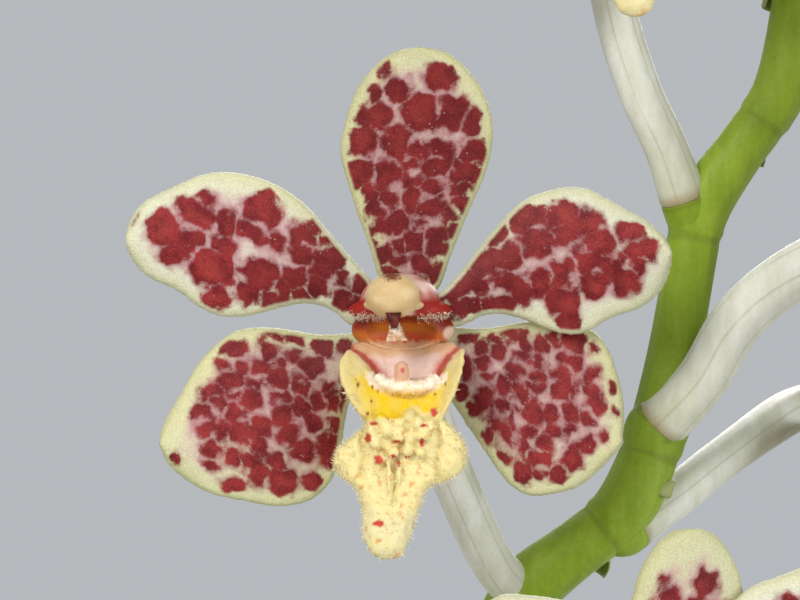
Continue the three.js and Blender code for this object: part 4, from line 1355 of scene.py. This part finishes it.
def cap_piece():
    dome = melted([ball(CAP_CENTRE, CAP_RADII), ball(CAP_RIM_CENTRE, CAP_RIM_RADII)], "dome", CAP_VOXEL, 4)
    points = corners_of(dome)
    grain = cloud(points, 0.35, 8)
    colours = blended((0.56, 0.385, 0.18), (0.62, 0.46, 0.25), 0.5 + 0.5 * cloud(points, 1.6, 9))
    scab = spot(points, -0.78, 2.75, 0.85, 0.5) + 0.2 * grain
    colours = blended(colours, (0.17, 0.055, 0.022), scab * 1.8)
    rust = spot(points, -0.6, -0.15, 0.8, 0.42) + 0.2 * grain
    tinted(dome, blended(colours, (0.4, 0.12, 0.03), rust * 1.5))
    beak = blade("beak", *BEAK, 0.5, 0.25, unbent, 12, 12)
    grain = cloud(corners_of(beak), 0.5, 10)
    tinted(beak, blended((0.05, 0.004, 0.002), (0.15, 0.016, 0.006), 0.4 + 0.6 * grain))
    return joined([dome, beak], "anther_cap")


def flap_piece():
    def curl(flat, across, along):
        return 0.35 * across ** 2 + 0.1 * np.sin(9 * across)

    flap = blade("flap", *FLAP, 0.3, 0.12, curl, 24, 24, None, 0.03)
    grain = cloud(corners_of(flap), 0.8, 11)
    return tinted(flap, blended((0.5, 0.26, 0.13), (0.78, 0.62, 0.48), 0.5 + 0.6 * grain))


def painted_skin(name, roughness, coat, relief_size):
    finish = Finish(name)
    tint = finish.node("ShaderNodeAttribute", {"attribute_name": "tint"}, out="Color")
    grain = finish.noise(relief_size, 2)
    colour = finish.shade(tint, grain * 0.25 + finish.noise(0.9, 2) * 0.15 + 1)
    relief = ((grain * 0.07, 0.6), (finish.noise(0.9, 2) * 0.12, 0.4))
    soft = {"Subsurface_Weight": 0.15, "Subsurface_Scale": 0.0012}
    return finish.shell(colour, roughness, relief, Coat_Weight=coat, Specular_IOR_Level=0.25, **soft)


column = column_piece()
cap = cap_piece()
flap = flap_piece()


# Lip: a funnel under the column, two yellow side lobes, a white woolly crest with a little finger, and a
# broad warty middle lobe with side arms and a hanging tongue. All are melted into one skin, and single
# hairs stand on its margins.
LIP_VOXEL = 0.11
FUNNEL = (
    ((-3.5, -1.2, -1.9), (-3.7, -1.8, -2.6), (-2.9, -2.1, -3.5), (-2.0, -2.3, -4.5), (-1.3, -2.6, -5.4)),
    ((3.6, -1.2, -1.9), (3.9, -1.8, -2.5), (3.3, -2.1, -3.5), (2.8, -2.3, -4.5), (2.0, -2.6, -5.4)),
)
LEFT_LOBE = (
    ((-3.75, -3.0, -2.35), (-4.35, -3.7, -3.1), (-4.3, -4.3, -4.5), (-3.75, -4.6, -5.7), (-3.0, -4.6, -6.8),
     (-2.5, -4.4, -7.5)),
    ((-3.4, -2.5, -2.35), (-2.7, -2.5, -2.9), (-2.0, -2.6, -3.9), (-1.5, -2.9, -4.6), (-0.9, -3.2, -5.6),
     (-0.4, -3.6, -6.8)),
)
RIGHT_LOBE = (
    ((3.9, -2.5, -2.15), (3.1, -2.5, -3.1), (2.6, -2.6, -4.0), (2.2, -2.9, -4.9), (1.7, -3.2, -5.9),
     (1.1, -3.6, -6.8)),
    ((4.3, -3.0, -2.3), (4.15, -3.7, -3.7), (3.65, -4.3, -5.2), (3.15, -4.6, -6.3), (2.6, -4.4, -7.3)),
)
BASIN = (
    ((-2.8, -3.1, -4.3), (-2.7, -3.7, -5.8), (-2.4, -4.4, -7.6)),
    ((3.0, -3.1, -4.3), (2.8, -3.7, -5.8), (2.4, -4.4, -7.6)),
)
MIDDLE_LOBE = (
    ((-2.3, -4.3, -6.9), (-2.9, -4.3, -7.85), (-3.9, -4.1, -8.6), (-4.8, -3.9, -9.6), (-4.75, -3.9, -10.5),
     (-4.1, -4.1, -11.2), (-3.15, -4.3, -11.8), (-2.95, -4.4, -12.8), (-2.65, -4.5, -13.6),
     (-2.8, -4.6, -14.5), (-2.6, -4.7, -15.6), (-1.95, -4.8, -16.4), (-1.1, -4.8, -16.75)),
    ((2.4, -4.3, -6.9), (3.5, -4.2, -7.8), (4.3, -4.0, -8.9), (4.4, -3.9, -10.0), (3.95, -4.0, -10.8),
     (3.0, -4.2, -11.3), (1.8, -4.3, -11.6), (1.35, -4.4, -12.4), (1.05, -4.5, -13.4), (0.6, -4.6, -14.7),
     (0.25, -4.7, -15.8), (-0.2, -4.8, -16.5), (-1.1, -4.8, -16.75)),
)
CREST = (
    (-1.8, -3.5, -4.2), (-0.9, -3.8, -4.85), (0.3, -3.9, -5.05), (1.5, -3.8, -4.85), (2.35, -3.5, -4.15),
)
FINGER = ((-0.08, -3.6, -5.0), (-0.08, -3.9, -4.1), (-0.1, -4.0, -3.1))
RIDGES = (
    ((-0.95, -5.2, -9.7), (-0.9, -5.45, -11.0), (-0.85, -5.3, -12.4)),
    ((-0.2, -5.2, -9.9), (-0.3, -5.4, -10.9), (-0.4, -5.25, -11.9)),
)
WARTS = (
    (0.48, -6.95, 0.6), (1.04, -7.3, 0.5), (-0.3, -8.1, 0.6), (-1.1, -7.75, 0.6), (0.47, -8.3, 0.5),
    (1.35, -8.1, 0.5), (-1.9, -8.6, 0.55), (-0.66, -9.3, 0.45), (0.33, -9.1, 0.5), (-2.2, -7.9, 0.5),
    (1.9, -7.5, 0.5), (-1.5, -7.1, 0.5), (1.2, -9.3, 0.4), (-1.5, -9.8, 0.4),
)
HIGH_WART = -7.0
FURROWS = (
    (((-2.6, -7.2), (-2.75, -8.4), (-2.6, -9.6), (-2.9, -10.9)), 0.24, 0.42),
    (((2.3, -7.4), (2.5, -8.6), (2.3, -9.8), (2.4, -11.2)), 0.24, 0.42),
    (((-0.55, -9.8), (-0.6, -11.2), (-0.65, -12.8)), 0.16, 0.3),
    (((0.2, -7.4), (0.1, -8.2), (-0.1, -9.0)), 0.2, 0.25),
)
RED_SPOTS = (
    (-1.67, -9.85, 0.36, 0.38), (1.32, -8.65, 0.26, 0.36), (-2.35, -8.3, 0.28, 0.4),
    (-1.67, -14.15, 0.45, 0.27), (-0.63, -9.6, 0.22, 0.2), (0.25, -9.65, 0.2, 0.16),
    (-0.28, -10.1, 0.14, 0.25), (-0.4, -8.6, 0.35, 0.15), (-2.0, -7.35, 0.4, 0.16),
    (2.1, -6.6, 0.28, 0.34), (1.4, -7.5, 0.3, 0.12),
)
BROWN_SPECKS = (
    (-3.07, -4.74, 0.1, 0.28), (-2.1, -4.9, 0.08, 0.2), (-1.74, -5.2, 0.07, 0.17),
    (-2.16, -5.9, 0.09, 0.14), (-2.4, -6.7, 0.13, 0.17), (2.9, -4.7, 0.08, 0.2),
    (2.2, -5.4, 0.08, 0.15), (-3.2, -4.4, 0.06, 0.12),
)
HAIR_WIDTH = 0.045
HAIR_TIP_COLOUR = (0.84, 0.76, 0.54)


def lip_piece():
    def funnel(flat, across, along):
        return 1.3 * (1 - across ** 2) * (1 - along * 0.7)

    def basin(flat, across, along):
        return 0.45 * (1 - across ** 2)

    def crest(share, angle):
        return 0.5 - 0.2 * (2 * share - 1) ** 2 + 0.07 * np.sin(37 * share + angle)

    def finger(share, angle):
        return (0.62 - 0.2 * share) * np.sqrt(np.clip((1.02 - share) / 0.2, 0, 1))

    def ridge(share, angle):
        return 0.22 * np.sin(np.pi * (0.08 + 0.84 * share))

    solid = [
        blade("funnel", *FUNNEL, 0.8, 0.3, funnel, 36, 30),
        blade("left_lobe", *LEFT_LOBE, 0.85, 0.4, unbent, 30, 40),
        blade("right_lobe", *RIGHT_LOBE, 0.85, 0.4, unbent, 30, 40),
        blade("basin", *BASIN, 1.2, 0.4, basin, 30, 24),
        blade("middle_lobe", *MIDDLE_LOBE, 2.0, 1.3, unbent, 60, 90),
        swept("crest", smooth_path(CREST, 40), crest, 20),
        swept("finger", smooth_path(FINGER, 24), finger, 16),
    ]
    solid += [swept("ridge", smooth_path(line, 30), ridge, 12) for line in RIDGES]
    for x, z, radius in WARTS:
        y = -5.25 if z < HIGH_WART else -4.6
        solid.append(ball((x, y, z), (0.85 * radius, 0.9 * radius, 0.95 * radius)))
    lip = melted(solid, "lip", LIP_VOXEL, 3)
    points = corners_of(lip)
    for line, width, depth in FURROWS:
        path = smooth_path(line, 40)
        away = np.linalg.norm(points[:, None, ::2] - path, axis=2).min(axis=1)
        points[:, 1] += depth * np.exp(-(away / width) ** 2) * eased(-4.2, -4.7, points[:, 1])
    points += 0.035 * np.stack([cloud(points, 0.9, k) for k in (51, 52, 53)], axis=1)
    lip.data.vertices.foreach_set("co", points.ravel())
    lip.data.update()
    return tinted(lip, lip_colours(corners_of(lip)))


def lip_colours(points):
    x, y, z = points.T
    soft = cloud(points, 1.6, 21)
    fine = cloud(points, 0.5, 22)
    colours = blended((0.75, 0.63, 0.28), (0.7, 0.62, 0.33), eased(-11, -15, z) + 0.3 * soft)
    colours = blended(colours, (0.62, 0.51, 0.21), eased(-7.6, -6.4, z))
    gold_left = np.interp(z, (-7.5, -5.6, -4.3, -3.8), (-2.7, -3.35, -3.75, -2.9))
    gold_right = np.interp(z, (-7.3, -5.2, -3.9, -3.3), (2.5, 3.2, 3.6, 3.5))
    gold = eased(-0.5, 1.7, x - gold_left) * eased(-0.4, 1.4, gold_right - x) * eased(-3.4, -4.7, z)
    foot = np.interp(x, (-2.5, -0.4, 0.5, 2.0), (-7.3, -7.2, -6.6, -6.8))
    gold = gold * eased(0, 0.5, z - foot + 0.25 * soft)
    colours = blended(colours, (0.7, 0.47, 0.006), gold * (1.1 + 0.2 * soft))
    rose = eased(-3.9, -3.0, z + 0.1 * fine) * (y > -3.3)
    colours = blended(colours, (0.62, 0.42, 0.28), rose * 0.6)
    left = np.interp(z, (-5.0, -4.2, -3.4, -2.7, -2.3), (-1.1, -1.65, -2.2, -2.85, -3.6))
    right = np.interp(z, (-5.0, -4.2, -3.4, -2.7, -2.2), (2.2, 2.45, 2.8, 3.3, 3.9))
    inside = eased(-0.08, 0.08, x - left) * eased(-0.08, 0.08, right - x) * eased(-5.4, -5.0, z)
    # The throat darkens towards its top under the column: partly its own brownish peach, partly painted
    # shade of the column and cap.
    throat = blended((0.6, 0.36, 0.2), (0.7, 0.5, 0.42), eased(-2.4, -3.1, z + 0.15 * soft))
    throat = blended(throat, (0.52, 0.22, 0.09), eased(-2.2, -1.7, z - 0.1 * np.abs(x)))
    near = np.minimum(np.abs(x - left), np.abs(right - x))
    throat = blended(throat, (0.52, 0.16, 0.13), eased(0.9, 0.1, near) * eased(-2.3, -3.4, z))
    colours = blended(colours, throat, inside * (y > -3.25))
    line = eased(0.34, 0.1, near + 0.05 * fine) * (z > -4.7) * (y > -3.6)
    colours = blended(colours, (0.4, 0.05, 0.035), line * 0.9)
    wool = eased(0.85, 0.5, far_from(points, CREST) + 0.1 * fine)
    white = blended((0.7, 0.42, 0.04), (0.86, 0.72, 0.58), eased(-5.5, -4.8, z + 0.1 * fine))
    colours = colours + (white - colours) * wool[:, None]
    finger = (np.abs(x + 0.1) < 0.5) * (y < -3.3) * eased(-4.7, -4.3, z)
    colours = blended(colours, (0.6, 0.34, 0.22), finger)
    colours = blended(colours, (0.5, 0.1, 0.08), spot(points, -0.02, -3.75, 0.2, 0.22) * 3 * finger)
    freckle = cloud(points, 0.75, 23) + 0.4 * cloud(points, 0.3, 24)
    freckle = freckle * eased(-6.6, -7.6, z) * (y < -4.4)
    middle = np.exp(-((x + 0.4) / 1.5) ** 2)
    colours = blended(colours, (0.6, 0.26, 0.06), eased(0.7, 1.3, freckle + 0.5 * middle - 0.45) * 0.7)
    for place in RED_SPOTS:
        share = (spot(points, *place) + 0.15 * fine) * 3 * (y < -4.1)
        colours = blended(colours, (0.5, 0.05, 0.026), share)
    for place in BROWN_SPECKS:
        colours = blended(colours, (0.2, 0.07, 0.015), spot(points, *place) * 2.5 * (y < -2.6))
    return colours


def hairs(piece, name, count, lengths, where, colour, seed):
    """Fine pointed hairs standing on a skin, thickest where where(points) is high."""
    rng = np.random.default_rng(seed)
    points = corners_of(piece)
    flat = np.empty(3 * len(points))
    piece.data.vertex_normals.foreach_get("vector", flat)
    share = where(points)
    pick = rng.choice(len(points), count, p=share / share.sum())
    foot = points[pick]
    up = flat.reshape(-1, 3)[pick] + rng.normal(0, 0.22, (count, 3))
    up /= np.linalg.norm(up, axis=1)[:, None]
    side = np.cross(up, rng.normal(0, 1, (count, 3)))
    side *= HAIR_WIDTH / np.linalg.norm(side, axis=1)[:, None]
    other = np.cross(up, side)
    tall = rng.uniform(*lengths, (count, 1))
    sink = foot - 0.06 * up
    ring = (sink + side, sink - 0.5 * side + 0.87 * other, sink - 0.5 * side - 0.87 * other)
    corners = np.stack([*ring, foot + up * tall], axis=1).reshape(-1, 3)
    faces = [(4 * i + a, 4 * i + b, 4 * i + c) for i in range(count)
             for a, b, c in ((0, 2, 1), (0, 1, 3), (1, 2, 3), (2, 0, 3))]
    mesh = bpy.data.meshes.new(name)
    mesh.from_pydata(corners.tolist(), [], faces)
    made = bpy.data.objects.new(name, mesh)
    bpy.context.collection.objects.link(made)
    colours = blended(colour, HAIR_TIP_COLOUR, rng.uniform(0, 1, count))
    return tinted(made, np.repeat(colours, 4, axis=0))


def far_from(points, line):
    """Distance of each point from a line."""
    return np.linalg.norm(points[:, None] - smooth_path(line, 30), axis=2).min(axis=1)


def woolly(points):
    return np.exp(-(far_from(points, CREST) / 0.55) ** 4) + 1e-9


def hairy(points):
    """Hair grows on the rims of the middle lobe, a little on its front and on the side lobes below."""
    x, y, z = points.T
    rim = np.exp(-((y + 4.0) / 0.75) ** 2) * eased(-6.6, -7.6, z)
    lobe = (np.abs(x) > 3.0) * eased(-4.5, -6.0, z) * eased(-8, -7, z) * 0.5
    return rim + lobe + 0.12 * eased(-7.0, -8.0, z) * (y < -4.4)


def fringed(points):
    """The column's wet fringe: on both shoulders' lower edges."""
    x, y, z = points.T
    return np.exp(-((z + 0.05) / 0.22) ** 2) * (y < -1.2) * eased(0.9, 1.4, np.abs(x + 0.1)) + 1e-6


lip = lip_piece()
lip_paint = painted_skin("lip_skin", 0.5, 0.05, 0.16)
column_paint = painted_skin("column_skin", 0.45, 0.08, 0.2)
cap_paint = painted_skin("cap_skin", 0.5, 0.05, 0.12)
wet_paint = painted_skin("wet_flap", 0.12, 0.6, 0.3)
far_pieces = []
for kind, piece, slot, paint, ratio in (
    ("lip", lip, "lip", lip_paint, 0.14),
    ("column", column, "column", column_paint, 0.2),
    ("cap", cap, "anther_cap", cap_paint, 0.1),
):
    far = copied(piece, f"far_{kind}")
    modified(far, "DECIMATE", ratio=ratio)
    far_pieces.append((kind, far, slot, paint))
for i, flower in enumerate(FLOWERS):
    if i == FRONT:
        continue
    for kind, far, slot, paint in far_pieces:
        piece = copied(far, f"flower_{i + 1:02d}_{kind}")
        piece.matrix_world = flower_place(flower)
        finished(piece, slot, paint, f"flower_{i + 1:02d}_blossom")
for _, far, _, _ in far_pieces:
    bpy.data.objects.remove(far)
lip_hairs = joined([
    hairs(lip, "lip_hairs", 2000, (0.14, 0.4), hairy, (0.66, 0.54, 0.28), 41),
    hairs(lip, "crest_wool", 450, (0.07, 0.16), woolly, (0.86, 0.74, 0.6), 43),
], "lip_hairs")
column_hairs = hairs(column, "column_fringe", 420, (0.08, 0.24), fringed, (0.72, 0.5, 0.42), 42)
for piece, slot, paint in (
    (lip, "lip", lip_paint),
    (lip_hairs, "lip", lip_paint),
    (column, "column", column_paint),
    (column_hairs, "column", column_paint),
    (cap, "anther_cap", cap_paint),
    (flap, "anther_cap", wet_paint),
):
    piece.matrix_world = flower_place(FLOWERS[FRONT])
    finished(piece, slot, paint, f"flower_{FRONT + 1:02d}_{slot}")


# Buds: five closed ones at the spike's end, smaller towards its tip. Each is three sepals pressed edge to
# edge, so it has three shallow seams, greenish cream freckled with maroon, on a short stalk.
BUDS = (
    ((54, 70, 23), 5.0), ((57, 79, 2), 4.4), ((35, 86, 19), 3.8), ((58, 90, 14), 3.1), ((50, 96, 8), 2.5),
)
BUD_STALK = 1.1
BUD_SEPALS = 3


def bud_piece(i):
    (x, z, y), half = BUDS[i]
    middle = FRONT_FLOWER + (x, y, z)
    start = on_spike(BUD_NODES[i])
    way = (middle - start) / np.linalg.norm(middle - start)
    up = way + (0, 0, 0.8)
    up /= np.linalg.norm(up)
    foot = middle - 0.8 * half * up
    stalk = smooth_path((start, (start + foot) / 2 + way, foot, foot + 0.3 * half * up), 40)

    def closed(share, angle):
        oval = np.sqrt(np.clip(1 - (2 * share - 1) ** 2, 0, 1)) * (1.06 - 0.22 * share)
        seam = 1 - 0.07 * np.exp(-((angle * BUD_SEPALS / (2 * np.pi) % 1 - 0.5) / 0.07) ** 2)
        return 0.74 * half * oval * seam

    def slim(share, angle):
        return BUD_STALK * (1.15 - 0.2 * share)

    body = swept("bud", np.linspace(middle - half * up, middle + half * up, 40), closed, 48)
    return joined([body, swept("stalk", stalk, slim, 16)], f"flower_bud_{i + 1:02d}")


def bud_skin():
    finish = Finish("bud_skin")
    soft = finish.noise(3.0, 3)
    green = finish.mix((soft * 2 + 0.5), (0.36, 0.4, 0.13), (0.6, 0.58, 0.32))
    freckle = finish.cells(1.3).between(0.34, 0.2) * (soft + 0.1).between(-0.1, 0.15)
    colour = finish.mix(freckle * 0.8, green, (0.3, 0.06, 0.05))
    return finish.shell(colour, 0.45, ((finish.noise(0.4, 2) * 0.08, 0.6),))


bud_green = bud_skin()
for i in range(len(BUDS)):
    finished(bud_piece(i), "tepal", bud_green, f"bud_{i + 1:02d}")
